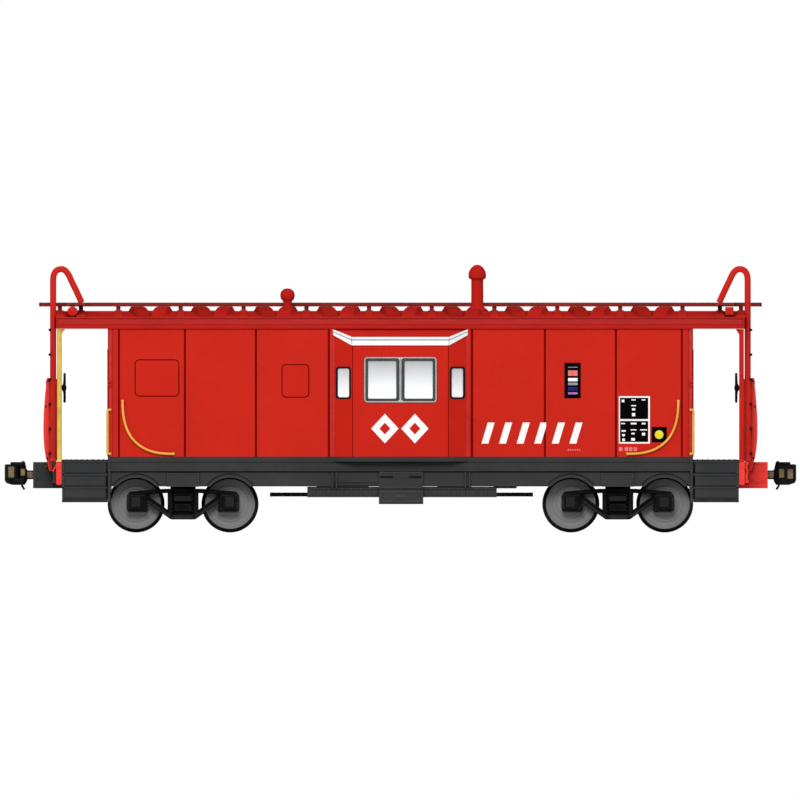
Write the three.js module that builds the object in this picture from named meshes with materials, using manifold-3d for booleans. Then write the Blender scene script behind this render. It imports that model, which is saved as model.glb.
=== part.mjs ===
// HO-scale bay-window caboose, 1:87. Units are millimetres, +Z up, +X along the track.
// The origin is on the rail plane, under the middle of the car.
// End "a" is at -X and end "b" at +X; "near" is the -Y side and "far" the +Y side.

import * as THREE from 'three';
import { mergeVertices } from 'three/addons/utils/BufferGeometryUtils.js';
import Module from 'manifold-3d';

const wasm = await Module();
wasm.setup();

// ---------------------------------------------------------------- driving dimensions

const COUPLER_FACE_X = 75.2;

const BODY_X = 55.6;
const BODY_Y = 16.35;
const WALL = 1.0;
const FLOOR_TOP = 14.4;
const BODY_TOP = 38.7;

const BAY_WALL_X = 12.9;
const BAY_FRONT_X = 9.2;
const BAY_Y = 18.65;
const GUTTER = { standOff: 0.3, z0: 35.4, z1: 37.1 };

const ROOF_X = 65.4;
const ROOF_Y = 16.75;
const EAVE_TOP = 40.9;
const ROOF_CROWN = 42.1;
const ROOF_PAD_TOP = 42.0;
const ROOF_WALL = 1.4;
const ROOF_FITTING_Y = -7.5;
const SMOKE_JACK_X = 14.6;
const ROOF_VENT_X = -21.45;

const BOARD = { x: 68.65, y: 2.8, bottom: 42.94, top: 43.7 };
const BOARD_SADDLES = [5.95, 17.85, 29.8, 41.75, 53.6, 60.7, 64.7];
const LATERAL = { x0: 59.9, x1: 63.4, y: -13.3, bracketX: 62.45, bracketY: -10.5 };

const PLATFORM_TOP = 13.87;
const PLATFORM_END_X = 64.3;
const END_SILL_X = 66.0;
const DRAFT_BOX_X = 69.8;
const DRAFT_PIVOT_X = 65.2;

const TRUCK_X = 41.3;
const HALF_WHEELBASE = 8.92;
const FLANGE_R = 5.425;
const TREAD_R = 4.81;
const AXLE_Z = FLANGE_R;
const BACK_TO_BACK = 14.5;
const WHEEL_WIDTH = 2.8;
const WHEEL_FACETS = 20;
const AXLE_TIP_Y = 12.3;

const LADDER = { x: 65.98, width: 1.05, nearY: -12.8, farY: -8.2, bar: 0.7, foot: 13.5 };
const RUNG_Z = [15.0, 19.7, 24.4, 29.1, 33.8, 38.5];

const POST = { x: 64.8, y: 15.95, r: 0.45, foot: 13.4 };
const BRAKE = { x: 63.8, y: 9.5, z: 27.5, r: 2.85 };

const GAP = 0.05;
const WIRE_R = 0.24;

// ---------------------------------------------------------------- solid helpers

function toSolid(geometry) {
  const bare = geometry.clone();
  bare.deleteAttribute('normal');
  bare.deleteAttribute('uv');
  const merged = mergeVertices(bare, 1e-4);
  return new wasm.Manifold(new wasm.Mesh({
    numProp: 3,
    vertProperties: Float32Array.from(merged.attributes.position.array),
    triVerts: Uint32Array.from(merged.index.array),
  }));
}

function toGeometry(solid) {
  const mesh = solid.getMesh();
  const geometry = new THREE.BufferGeometry();
  geometry.setAttribute('position', new THREE.BufferAttribute(Float32Array.from(mesh.vertProperties), 3));
  geometry.setIndex(new THREE.BufferAttribute(Uint32Array.from(mesh.triVerts), 1));
  geometry.computeVertexNormals();
  return geometry;
}

function joined(geometries) {
  return toGeometry(geometries.map(toSolid).reduce((whole, piece) => whole.add(piece)));
}

function cut(geometry, tools) {
  return toGeometry(tools.map(toSolid).reduce((whole, tool) => whole.subtract(tool), toSolid(geometry)));
}

// Axis-aligned block between two corners, given in any order.
function block(x0, x1, y0, y1, z0, z1) {
  const geometry = new THREE.BoxGeometry(Math.abs(x1 - x0), Math.abs(y1 - y0), Math.abs(z1 - z0));
  return geometry.translate((x0 + x1) / 2, (y0 + y1) / 2, (z0 + z1) / 2);
}

function outline(points) {
  return new THREE.Shape(points.map(([u, v]) => new THREE.Vector2(u, v)));
}

function prism(points, depth) {
  return new THREE.ExtrudeGeometry(outline(points), { depth, bevelEnabled: false });
}

// Prism over a plan outline, between two heights.
function planPrism(points, z0, z1) {
  return prism(points, z1 - z0).translate(0, 0, z0);
}

// Prism over a side outline of (x, z) points, between two y values.
function sidePrism(points, y0, y1) {
  const low = Math.min(y0, y1);
  const high = Math.max(y0, y1);
  return prism(points, high - low).rotateX(Math.PI / 2).translate(0, high, 0);
}

// Prism over an end outline of (y, z) points, between two x values.
function endPrism(points, x0, x1) {
  const low = Math.min(x0, x1);
  const turn = new THREE.Matrix4().makeBasis(
    new THREE.Vector3(0, 1, 0), new THREE.Vector3(0, 0, 1), new THREE.Vector3(1, 0, 0));
  return prism(points, Math.abs(x1 - x0)).applyMatrix4(turn).translate(low, 0, 0);
}

function roundBar(axis, radius, from, to, u, v, sides = 12) {
  const bar = new THREE.CylinderGeometry(radius, radius, Math.abs(to - from), sides);
  const middle = (from + to) / 2;
  if (axis === 'z') return bar.rotateX(Math.PI / 2).translate(u, v, middle);
  if (axis === 'x') return bar.rotateZ(Math.PI / 2).translate(middle, u, v);
  return bar.translate(u, middle, v);
}

// Flat bar of constant width along an (x, z) centre line, between two y values.
function flatBar(line, width, y0, y1) {
  const left = [];
  const right = [];
  line.forEach((point, i) => {
    const before = line[Math.max(i - 1, 0)];
    const after = line[Math.min(i + 1, line.length - 1)];
    const along = new THREE.Vector2().subVectors(after, before).normalize();
    const side = new THREE.Vector2(-along.y, along.x).multiplyScalar(width / 2);
    left.push([point.x + side.x, point.y + side.y]);
    right.unshift([point.x - side.x, point.y - side.y]);
  });
  return sidePrism([...left, ...right], y0, y1);
}

function wire(curve, radius, steps, sides = 6) {
  const section = new THREE.Shape();
  for (let i = 0; i < sides; i += 1) {
    const angle = (i / sides) * 2 * Math.PI;
    const corner = [radius * Math.cos(angle), radius * Math.sin(angle)];
    if (i === 0) section.moveTo(...corner);
    else section.lineTo(...corner);
  }
  return new THREE.ExtrudeGeometry(section, { steps, extrudePath: curve, bevelEnabled: false });
}

// Solid turned about Y from (radius, y) points listed from low y to high y.
function turned(profile, segments) {
  return new THREE.LatheGeometry(profile.map(([r, y]) => new THREE.Vector2(r, y)), segments);
}

// ---------------------------------------------------------------- materials

function finish(color, roughness, metalness) {
  return () => new THREE.MeshStandardMaterial({ color, roughness, metalness });
}

const redPaint = finish(0xc83426, 0.42, 0.0);
const darkRed = finish(0x7a211d, 0.5, 0.0);
const greyPlastic = finish(0x414141, 0.6, 0.0);
const blackPlastic = finish(0x1c1c1c, 0.55, 0.0);
const wheelMetal = finish(0x7d7d7d, 0.35, 0.7);
const axleSteel = finish(0x8a8a8c, 0.3, 0.9);
const couplerBronze = finish(0x5a4b32, 0.45, 0.8);
const springBronze = finish(0xa8834a, 0.35, 0.9);
const weightSteel = finish(0x70747a, 0.45, 0.9);
const screwSteel = finish(0x55575a, 0.4, 0.9);
const clearPlastic = finish(0xe6edf0, 0.08, 0.0);
const yellowWire = finish(0xf5b45a, 0.45, 0.0);

const caboose = new THREE.Group();

function place(name, geometry, material, parent = caboose) {
  const mesh = new THREE.Mesh(geometry, material());
  mesh.name = name;
  parent.add(mesh);
  return mesh;
}

// ---------------------------------------------------------------- carbody

// Half-plan of the bay, moved inwards by an inset: where it meets the wall, and its front corner.
function bayCorners(inset) {
  const slope = new THREE.Vector2(BAY_FRONT_X - BAY_WALL_X, BAY_Y - BODY_Y);
  const normal = new THREE.Vector2(slope.y, -slope.x).normalize();
  const start = new THREE.Vector2(BAY_WALL_X, BODY_Y).addScaledVector(normal, -inset);
  const along = (y) => start.x + (slope.x * (y - start.y)) / slope.y;
  const wallY = BODY_Y - inset;
  const frontY = BAY_Y - inset;
  return { wallX: along(wallY), wallY, frontX: along(frontY), frontY };
}

// Plan of one bay from its corners, reaching a little inside the wall so that it joins what it meets.
function bayPlan({ wallX, wallY, frontX, frontY }, e) {
  const half = (d) => [[d * wallX, e * (wallY - 0.3)], [d * wallX, e * wallY], [d * frontX, e * frontY]];
  return [...half(-1), ...half(1).reverse()];
}

function bodyPlan() {
  const { wallX, wallY, frontX, frontY } = bayCorners(0);
  const side = (s) => [
    [-s * BODY_X, s * wallY], [-s * wallX, s * wallY], [-s * frontX, s * frontY],
    [s * frontX, s * frontY], [s * wallX, s * wallY], [s * BODY_X, s * wallY],
  ];
  return [...side(1), ...side(-1)];
}

const BAY_WINDOW = { x: 6.6, z0: 25.0, z1: 33.1 };
const BAY_SIDE_WINDOW = { x0: 9.6, x1: 12.1, z0: 25.6, z1: 31.3 };
const DOORWAY = { y: 3.5, z1: 34.1 };
const PLATED_WINDOWS = [[-50.3, -42.2, 26.0, 32.7], [-22.4, -17.5, 25.8, 31.8]];

function bodyShell() {
  const inner = bayCorners(WALL);
  const below = FLOOR_TOP - 1;
  const solids = [planPrism(bodyPlan(), FLOOR_TOP, BODY_TOP)];
  const tools = [block(-BODY_X + WALL, BODY_X - WALL, -BODY_Y + WALL, BODY_Y - WALL, below, BODY_TOP + 1)];
  for (const s of [-1, 1]) {
    tools.push(planPrism(bayPlan(inner, s), below, BODY_TOP - WALL));
    const { x, z0, z1 } = BAY_WINDOW;
    tools.push(block(-x, x, s * (BAY_Y - 2), s * (BAY_Y + 1), z0, z1));
    for (const e of [-1, 1]) {
      const w = BAY_SIDE_WINDOW;
      tools.push(block(e * w.x0, e * w.x1, s * (BODY_Y - 0.6), s * (BAY_Y + 1), w.z0, w.z1));
    }
    tools.push(block(s * (BODY_X - 2 * WALL), s * (BODY_X + 1), -DOORWAY.y, DOORWAY.y, below, DOORWAY.z1));
    const gutterY = [s * (BAY_Y - 0.5), s * (BAY_Y + GUTTER.standOff)];
    solids.push(block(-BAY_FRONT_X, BAY_FRONT_X, ...gutterY, GUTTER.z0, GUTTER.z1));
    for (const [x0, x1, low, high] of PLATED_WINDOWS) {
      solids.push(block(-s * x0, -s * x1, s * (BODY_Y - 0.5), s * (BODY_Y + 0.15), low, high));
    }
  }
  return cut(joined(solids), tools);
}

// Clear strip that follows the inside of one bay.
function bayGlazing(s) {
  const outer = bayCorners(WALL + 0.1);
  const inner = bayCorners(WALL + 0.6);
  const half = (c, e) => [[e * c.wallX, s * c.wallY], [e * c.frontX, s * c.frontY]];
  const front = [...half(outer, -1), ...half(outer, 1).reverse()];
  const back = [...half(inner, 1), ...half(inner, -1).reverse()];
  return planPrism([...front, ...back], BAY_WINDOW.z0 - 0.8, BAY_WINDOW.z1 + 0.8);
}

function endDoor(s) {
  const face = s * (BODY_X - 0.15);
  const back = s * (BODY_X - 0.85);
  const slab = block(face, back, -DOORWAY.y + GAP, DOORWAY.y - GAP, FLOOR_TOP + GAP, DOORWAY.z1 - GAP);
  return cut(slab, [block(face - s * 0.3, face + s, -1.9, 1.9, 25.4, 32.0)]);
}

function roofHeight(y) {
  return ROOF_CROWN - (ROOF_CROWN - EAVE_TOP) * (y / ROOF_Y) ** 2;
}

function roof() {
  const arch = [];
  const facets = 12;
  for (let i = 0; i <= facets; i += 1) {
    const y = ROOF_Y * (1 - (2 * i) / facets);
    arch.push([y, roofHeight(y)]);
  }
  const hood = endPrism([[-ROOF_Y, BODY_TOP], [ROOF_Y, BODY_TOP], ...arch], -ROOF_X, ROOF_X);
  const hollowX = BODY_X - ROOF_WALL;
  const hollowY = BODY_Y - ROOF_WALL;
  const hollow = block(-hollowX, hollowX, -hollowY, hollowY, BODY_TOP - 1, EAVE_TOP - 0.6);
  const pads = [[SMOKE_JACK_X, 2.4], [ROOF_VENT_X, 1.7]].map(([x, r]) => (
    roundBar('z', r, EAVE_TOP, ROOF_PAD_TOP, x, ROOF_FITTING_Y)));
  return cut(joined([hood, ...pads]), [hollow]);
}

function runningBoard() {
  const plank = block(-BOARD.x, BOARD.x, -BOARD.y, BOARD.y, BOARD.bottom, BOARD.top);
  const saddles = BOARD_SADDLES.flatMap((x) => [-1, 1].map((s) => (
    block(s * x - 0.45, s * x + 0.45, -2.4, 2.4, ROOF_CROWN, BOARD.bottom + 0.1))));
  const laterals = [-1, 1].flatMap((s) => {
    const { x0, x1, y, bracketX, bracketY } = LATERAL;
    const bracketZ = [roofHeight(bracketY + 0.45) + GAP, BOARD.top - 0.1];
    return [
      block(s * x0, s * x1, y, 0, BOARD.bottom, BOARD.top),
      block(s * (bracketX - 0.9), s * (bracketX + 0.9), bracketY - 0.45, bracketY + 0.45, ...bracketZ),
    ];
  });
  return joined([plank, ...saddles, ...laterals]);
}

// Round roof fittings, turned about their own upright axis and standing on the roof pads.
function roofFitting(profile, x) {
  return turned(profile, 14).rotateX(Math.PI / 2).translate(x, ROOF_FITTING_Y, ROOF_PAD_TOP);
}

const SMOKE_JACK = [
  [0, 0], [2.0, 0], [1.15, 1.1], [1.15, 6.3], [1.6, 6.3], [1.6, 7.3], [1.15, 8.4], [0.5, 8.85], [0, 8.92],
];
const ROOF_VENT = [
  [0, 0], [1.35, 0], [0.85, 0.9], [0.85, 2.1], [1.36, 2.9], [1.36, 3.5], [0.8, 4.25], [0, 4.4],
];

// ---------------------------------------------------------------- underframe

const SILL = { y: BODY_Y, inner: 15.4, skirtY: 15.9, skirtTop: 11.7, bottom: 8.75 };
const CENTRE_SILL = { y: 2.6, bottom: 10.9, deepX0: 25, deepX1: 57.5, deepBottom: 8.9 };
const FLOOR_BOTTOM = 13.2;
const BAY_FLOOR_BOTTOM = 13.5;
const BOLSTER = { x: 3.05, bottom: 11.0, endBottom: 8.7 };
const CENTRE_PAD = { r: 2.6, bottom: 8.85 };
const TRUCK_SCREW = { shank: 1.05, head: 1.95, headTop: 5.5, top: 12.8 };
const STAIR = { y0: 10.2, y1: BODY_Y, treads: [11.3, 8.84, 6.4], board: 0.6, bottom: 5.72 };
const ARCH = { r: 5.0, y0: 15.0, y1: 17.0 };
const DRAFT_BOX = { x0: 61.4, y: 4.4, z0: 9.35, z1: 13.4, wall: 1.1 };
const POCKET_POST_R = 1.0;

function stairs(s, e) {
  const { y0, y1, treads, board, bottom } = STAIR;
  const run = (y1 - y0 - 0.4) / treads.length;
  const stairX = [s * (BODY_X - 0.1), s * PLATFORM_END_X];
  const solids = [];
  let riserTop = PLATFORM_TOP;
  treads.forEach((top, i) => {
    const y = y0 + 0.4 + i * run;
    solids.push(block(...stairX, e * (y - 0.4), e * y, top - board, riserTop));
    solids.push(block(...stairX, e * (y - 0.4), e * (y + run), top - board, top));
    riserTop = top;
  });
  const stringer = [[y0 - 0.4, PLATFORM_TOP], [y0 + 0.6, PLATFORM_TOP], [y1, treads[1] + 0.2], [y1, bottom],
    [y1 - 2.4, bottom], [y0 - 0.4, PLATFORM_TOP - 2.2]].map(([y, z]) => [e * y, z]);
  for (const x of [BODY_X - 0.5, PLATFORM_END_X - 0.45]) {
    solids.push(endPrism(stringer, s * x, s * (x + 0.45)));
  }
  return solids;
}

function draftBox(s) {
  const { x0, y, z0, z1, wall } = DRAFT_BOX;
  const box = block(s * x0, s * DRAFT_BOX_X, -y, y, z0, z1);
  const pocket = block(s * (x0 + wall), s * (DRAFT_BOX_X + 1), -y + wall, y - wall, z0 - 1, z1 - 0.8);
  const post = roundBar('z', POCKET_POST_R, z0, z1 - 0.4, s * DRAFT_PIVOT_X, 0);
  const screwHole = roundBar('z', 0.62, z0 - 1, z0 + 2.6, s * DRAFT_PIVOT_X, 0);
  return { box, pocket, post, screwHole };
}

// Block centred on x and on the car's centre line.
function crossBlock(x, halfX, halfY, z0, z1) {
  return block(x - halfX, x + halfX, -halfY, halfY, z0, z1);
}

function underframe() {
  const acrossY = SILL.inner + 0.2;
  const solids = [
    crossBlock(0, BODY_X, acrossY, FLOOR_BOTTOM, FLOOR_TOP),
    crossBlock(0, DRAFT_BOX.x0 + 0.5, CENTRE_SILL.y, CENTRE_SILL.bottom, FLOOR_BOTTOM + 0.2),
  ];
  const arches = [];
  const endSills = [];
  const pockets = [];
  const posts = [];
  const holes = [];
  for (const e of [-1, 1]) {
    solids.push(planPrism(bayPlan(bayCorners(0), e), BAY_FLOOR_BOTTOM, FLOOR_TOP));
    solids.push(block(-BODY_X, BODY_X, e * SILL.inner, e * SILL.y, SILL.skirtTop, FLOOR_TOP));
    solids.push(block(-BODY_X, BODY_X, e * SILL.inner, e * SILL.skirtY, SILL.bottom, SILL.skirtTop + 0.1));
  }
  for (const s of [-1, 1]) {
    const x = s * TRUCK_X;
    const { y: sillY, deepX0, deepX1, deepBottom } = CENTRE_SILL;
    solids.push(block(s * deepX0, s * deepX1, -sillY, sillY, deepBottom, FLOOR_BOTTOM + 0.2));
    solids.push(crossBlock(x, BOLSTER.x, acrossY, BOLSTER.bottom, FLOOR_BOTTOM + 0.2));
    solids.push(roundBar('z', CENTRE_PAD.r, CENTRE_PAD.bottom, BOLSTER.bottom + 0.2, x, 0, 16));
    holes.push(roundBar('z', TRUCK_SCREW.shank + 0.1, CENTRE_PAD.bottom - 1, TRUCK_SCREW.top + 0.1, x, 0));
    for (const d of [-HALF_WHEELBASE, HALF_WHEELBASE]) {
      for (const e of [-1, 1]) {
        arches.push(roundBar('y', ARCH.r, e * ARCH.y0, e * ARCH.y1, x + d, AXLE_Z, 24));
      }
    }
    for (const e of [-1, 1]) {
      const endY = [e * (SILL.inner - 2), e * (SILL.skirtY + 0.2)];
      const end = block(x - BOLSTER.x, x + BOLSTER.x, ...endY, BOLSTER.endBottom, BOLSTER.bottom + 0.1);
      endSills.push(end, ...stairs(s, e));
    }
    const platformX = [s * (BODY_X - 0.1), s * PLATFORM_END_X];
    endSills.push(block(...platformX, -STAIR.y0, STAIR.y0, PLATFORM_TOP - 1.1, PLATFORM_TOP));
    endSills.push(block(s * (PLATFORM_END_X - 0.1), s * END_SILL_X, -15.5, 15.5, 9.4, 13.45));
    const draft = draftBox(s);
    endSills.push(draft.box);
    pockets.push(draft.pocket);
    posts.push(draft.post);
    holes.push(draft.screwHole);
  }
  const frame = cut(joined(solids), arches);
  return cut(joined([cut(joined([frame, ...endSills]), pockets), ...posts]), holes);
}

const EQUIPMENT = { x: 4.35, y0: 9.0, y1: 16.3, z0: 5.4, z1: 11.65, wingZ0: 6.7, wingZ1: 8.65 };

function equipmentBox() {
  const q = EQUIPMENT;
  const solids = [block(-q.x, q.x, -q.y0 - 0.5, q.y0 + 0.5, 9.8, CENTRE_SILL.bottom - 0.1)];
  for (const e of [-1, 1]) {
    solids.push(block(-q.x, q.x, e * q.y0, e * (SILL.inner - 0.1), q.z0, CENTRE_SILL.bottom - 0.1));
    solids.push(block(-q.x, q.x, e * (SILL.inner - 0.2), e * q.y1, q.z0, SILL.bottom - GAP));
    solids.push(block(-q.x, q.x, e * (SILL.skirtY + GAP), e * q.y1, SILL.bottom - 0.2, q.z1));
    solids.push(block(-17.7, 18.4, e * 13.4, e * 15.8, q.wingZ0, q.wingZ1));
  }
  const slots = [-2.9, 2.9].flatMap((x) => [-1, 1].map((e) => (
    block(x - 1.2, x + 1.2, e * (q.y1 - 0.2), e * (q.y1 + 1), 10.1, 10.6))));
  return cut(joined(solids), slots);
}

const TANK = { x0: -16, x1: -6, y: -4.9, z: 9.05, r: 2.2, straps: [-13.6, -8.4] };

function airReservoir() {
  const { x0, x1, y, z, r } = TANK;
  const tank = roundBar('x', r, x0, x1, y, z, 16);
  const straps = TANK.straps.map((x) => (
    block(x - 0.4, x + 0.4, y - 0.7, y + 0.7, z + r - 0.7, FLOOR_BOTTOM - GAP)));
  return joined([tank, ...straps]);
}

const CYLINDER = { x0: 7, x1: 13.5, y: 5.0, z: 8.6, r: 1.8 };
const BRAKE_ROD = { x0: -24.8, x1: 25.2, z: 7.22, r: 0.38 };

function brakeGear() {
  const { x0, x1, y, z, r } = CYLINDER;
  const cylinder = roundBar('x', r, x0, x1, y, z, 16);
  const rod = roundBar('x', BRAKE_ROD.r, BRAKE_ROD.x0, BRAKE_ROD.x1, y, BRAKE_ROD.z, 8);
  const hanger = block(9.6, 10.8, y - 0.7, y + 0.7, z + r - 0.6, FLOOR_BOTTOM - GAP);
  const lever = block(-6.6, -5.9, y - 1.6, y + 1.6, BRAKE_ROD.z - 0.32, BRAKE_ROD.z + 0.28);
  return joined([cylinder, rod, hanger, lever]);
}

// ---------------------------------------------------------------- couplers

// Everything of one coupler is drawn for the +X end; the -X end is the same, turned half round.
const HEAD = { z0: 9.6, z1: 13.5 };
const KNUCKLE_PIVOT = { x: 73.2, y: 1.4 };
const EAR = 0.65;

function couplerBody() {
  const head = planPrism([
    [71.1, -1.6], [72.2, -2.2], [74.7, -2.95], [74.95, -2.4],
    [73.2, -1.5], [72.2, -0.6], [72.2, 2.3], [71.1, 1.7],
  ], HEAD.z0, HEAD.z1);
  const shank = block(DRAFT_PIVOT_X + 1.2, 71.6, -1.0, 1.0, 10.45, 12.0);
  const ring = roundBar('z', 1.9, 10.45, 12.0, DRAFT_PIVOT_X, 0, 16);
  const { x, y } = KNUCKLE_PIVOT;
  const ears = [[HEAD.z0, HEAD.z0 + EAR], [HEAD.z1 - EAR, HEAD.z1]].flatMap(([z0, z1]) => [
    roundBar('z', 0.9, z0, z1, x, y), block(72.0, x, y - 0.85, y + 0.85, z0, z1),
  ]);
  const holes = [
    roundBar('z', POCKET_POST_R + 0.15, 9, 13, DRAFT_PIVOT_X, 0),
    roundBar('z', 0.45, HEAD.z0 - 1, HEAD.z1 + 1, x, y),
    roundBar('z', 0.47, HEAD.z0 - 1, HEAD.z1 - 0.6, 71.8, 0.2, 10),
  ];
  return cut(joined([head, shank, ring, ...ears]), holes);
}

function knuckle() {
  const { x, y } = KNUCKLE_PIVOT;
  const face = COUPLER_FACE_X;
  const low = HEAD.z0 + EAR + 0.1;
  const high = HEAD.z1 - EAR - 0.1;
  const front = [[face, 1.2], [face, -0.6], [74.6, -0.9], [74.3, -0.5]];
  const arm = planPrism([[72.9, 0.8], [73.4, 2.15], [74.3, 2.1], ...front, [74.2, 0.55]], low, high);
  const nose = planPrism([[74.25, 2.0], ...front, [74.25, 0.55]], HEAD.z0 + 0.1, HEAD.z1 - 0.1);
  const barrel = roundBar('z', 0.8, low, high, x, y);
  const pin = roundBar('z', 0.36, HEAD.z0 + 0.15, HEAD.z1 - 0.15, x, y, 10);
  return joined([arm, nose, barrel, pin]);
}

function tripPin() {
  const upright = roundBar('z', 0.4, 8.5, HEAD.z1 - 0.8, 71.8, 0.2, 8);
  const foot = roundBar('y', 0.4, -0.6, 1.4, 71.8, 8.5, 8);
  return joined([upright, foot]);
}

// Bent strip lying in the pocket: a back and two leaves that push the shank back to the middle.
function centringSpring() {
  return planPrism([
    [62.65, -3.0], [67.4, -2.75], [67.4, -2.5], [62.9, -2.75],
    [62.9, 2.75], [67.4, 2.5], [67.4, 2.75], [62.65, 3.0],
  ], 10.7, 11.8);
}

function pocketLid(s) {
  const lid = block(s * DRAFT_BOX.x0, s * DRAFT_BOX_X, -DRAFT_BOX.y, DRAFT_BOX.y, 8.4, DRAFT_BOX.z0 - GAP);
  const x = s * DRAFT_PIVOT_X;
  return cut(lid, [roundBar('z', 0.66, 7, 11, x, 0), roundBar('z', 1.3, 7, 8.95, x, 0)]);
}

function lidScrew(s) {
  const x = s * DRAFT_PIVOT_X;
  const screw = joined([roundBar('z', 1.2, 8.45, 8.9, x, 0), roundBar('z', 0.55, 8.8, 11.7, x, 0, 8)]);
  return cut(screw, [block(x - 0.2, x + 0.2, -2, 2, 8, 8.6)]);
}

// ---------------------------------------------------------------- trucks

const SIDEFRAME = { inner: 10.95, outer: 12.9, boxOuter: 13.4 };
const JOURNAL_R = 0.45;

// Truck moulding about its own pivot at x = 0: two sideframes joined by the bolster.
function truckFrame() {
  const half = [
    [2.1, 2.47], [6.7, 5.7], [6.9, 3.8], [10.2, 3.8], [10.7, 4.4], [10.7, 7.3], [10.2, 7.85], [2.8, 8.25],
  ];
  const mirrored = half.map(([x, z]) => [-x, z]).reverse();
  const sideOutline = [...half, ...mirrored];
  const solids = [
    block(-2.5, 2.5, -SIDEFRAME.inner - 0.2, SIDEFRAME.inner + 0.2, TRUCK_SCREW.headTop + 0.1, 8.0),
    roundBar('z', 2.4, 7.8, CENTRE_PAD.bottom - 0.1, 0, 0, 16),
  ];
  const tools = [roundBar('z', TRUCK_SCREW.shank + 0.3, 4, 10, 0, 0)];
  for (const e of [-1, 1]) {
    solids.push(sidePrism(sideOutline, e * SIDEFRAME.inner, e * SIDEFRAME.outer));
    for (const d of [-1, 1]) {
      const x = d * HALF_WHEELBASE;
      solids.push(block(x - 1.5, x + 1.5, e * (SIDEFRAME.outer - 0.1), e * SIDEFRAME.boxOuter, 3.95, 7.0));
      tools.push(sidePrism([[d * 2.95, 4.4], [d * 6.3, 6.9], [d * 6.3, 7.35], [d * 2.95, 7.45]],
        e * (SIDEFRAME.inner - 1), e * (SIDEFRAME.outer + 1)));
      const pocketY = [e * (SIDEFRAME.inner - 1), e * (AXLE_TIP_Y + 0.15)];
      tools.push(roundBar('y', JOURNAL_R + 0.08, ...pocketY, x, AXLE_Z, 8));
    }
  }
  return cut(joined(solids), tools);
}

function truckScrew() {
  const head = roundBar('z', TRUCK_SCREW.head, TRUCK_SCREW.headTop - 0.9, TRUCK_SCREW.headTop, 0, 0, 16);
  const shank = roundBar('z', TRUCK_SCREW.shank, TRUCK_SCREW.headTop - 0.1, TRUCK_SCREW.top, 0, 0);
  const slot = block(-0.25, 0.25, -3, 3, 4, 4.95);
  return cut(joined([head, shank]), [slot]);
}

const AXLE_R = 0.9;

function axle() {
  const tip = AXLE_TIP_Y;
  const half = [[AXLE_R, 10.4], [JOURNAL_R, 10.9], [JOURNAL_R, tip - 0.3], [0.3, tip], [0, tip]];
  const mirrored = half.map(([r, y]) => [r, -y]).reverse();
  return turned([...mirrored, ...half], 8);
}

// Wheel on the +Y side, flange inboard; the -Y one is the same, turned about X.
// A flat of the tread faces straight down, so the outline is grown until the flats touch the true circle.
function wheel() {
  const back = BACK_TO_BACK / 2;
  const face = back + WHEEL_WIDTH;
  const bore = AXLE_R + 0.06;
  const ring = [
    [bore, back], [FLANGE_R - 0.1, back], [FLANGE_R, back + 0.35], [TREAD_R, back + 0.8], [TREAD_R, face],
    [TREAD_R - 0.7, face], [TREAD_R - 0.9, face - 0.5], [1.7, face - 0.5], [bore, face], [bore, back],
  ];
  const halfFacet = Math.PI / WHEEL_FACETS;
  const grow = 1 / Math.cos(halfFacet);
  return turned(ring, WHEEL_FACETS).rotateY(halfFacet).scale(grow, 1, grow);
}

// ---------------------------------------------------------------- end fittings

function line(build) {
  const path = new THREE.Path();
  build(path);
  return path.getPoints(3);
}

function endLadder(s) {
  const solids = [];
  const stile = line((path) => {
    path.moveTo(s * LADDER.x, LADDER.foot);
    path.lineTo(s * LADDER.x, 47.9);
    path.quadraticCurveTo(s * LADDER.x, 50.05, s * 64.4, 50.05);
    path.quadraticCurveTo(s * 63.4, 50.05, s * 62.6, 48.0);
    path.lineTo(s * 60.65, BOARD.top + 0.32);
  });
  for (const y of [LADDER.nearY, LADDER.farY]) {
    solids.push(flatBar(stile, LADDER.width, y - LADDER.bar / 2, y + LADDER.bar / 2));
  }
  for (const z of RUNG_Z) {
    const x = s * (LADDER.x + LADDER.width / 2 + 0.1);
    solids.push(roundBar('y', 0.28, LADDER.nearY - 0.45, LADDER.farY + 0.35, x, z, 6));
  }
  return joined(solids);
}

const RAILING = {
  bar: 0.5, bars: [-5, 5], plates: [-7.35, 8.2, 11.4, 14.7], z0: 11.7, z1: 29,
  innerX: 65.35, footX: 66.15, footZ: 13.6,
};
const HOUSING = { x0: 65.05, x1: 66.9, y0: 8.1, y1: 10.9, z0: 25.4, z1: 29.2 };

// Stanchion with the belly as its outer edge and a foot that stands off the end sill, centred on y.
function bellyPlate(belly, s, y) {
  const half = RAILING.bar / 2;
  const outer = belly.map((point) => [point.x + s * half, point.y]);
  const { innerX, footX, footZ, z0, z1 } = RAILING;
  const inner = [[innerX, z1], [innerX, footZ], [footX, footZ], [footX, z0]].map(([x, z]) => [s * x, z]);
  return sidePrism([...outer, ...inner], y - half, y + half);
}

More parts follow.
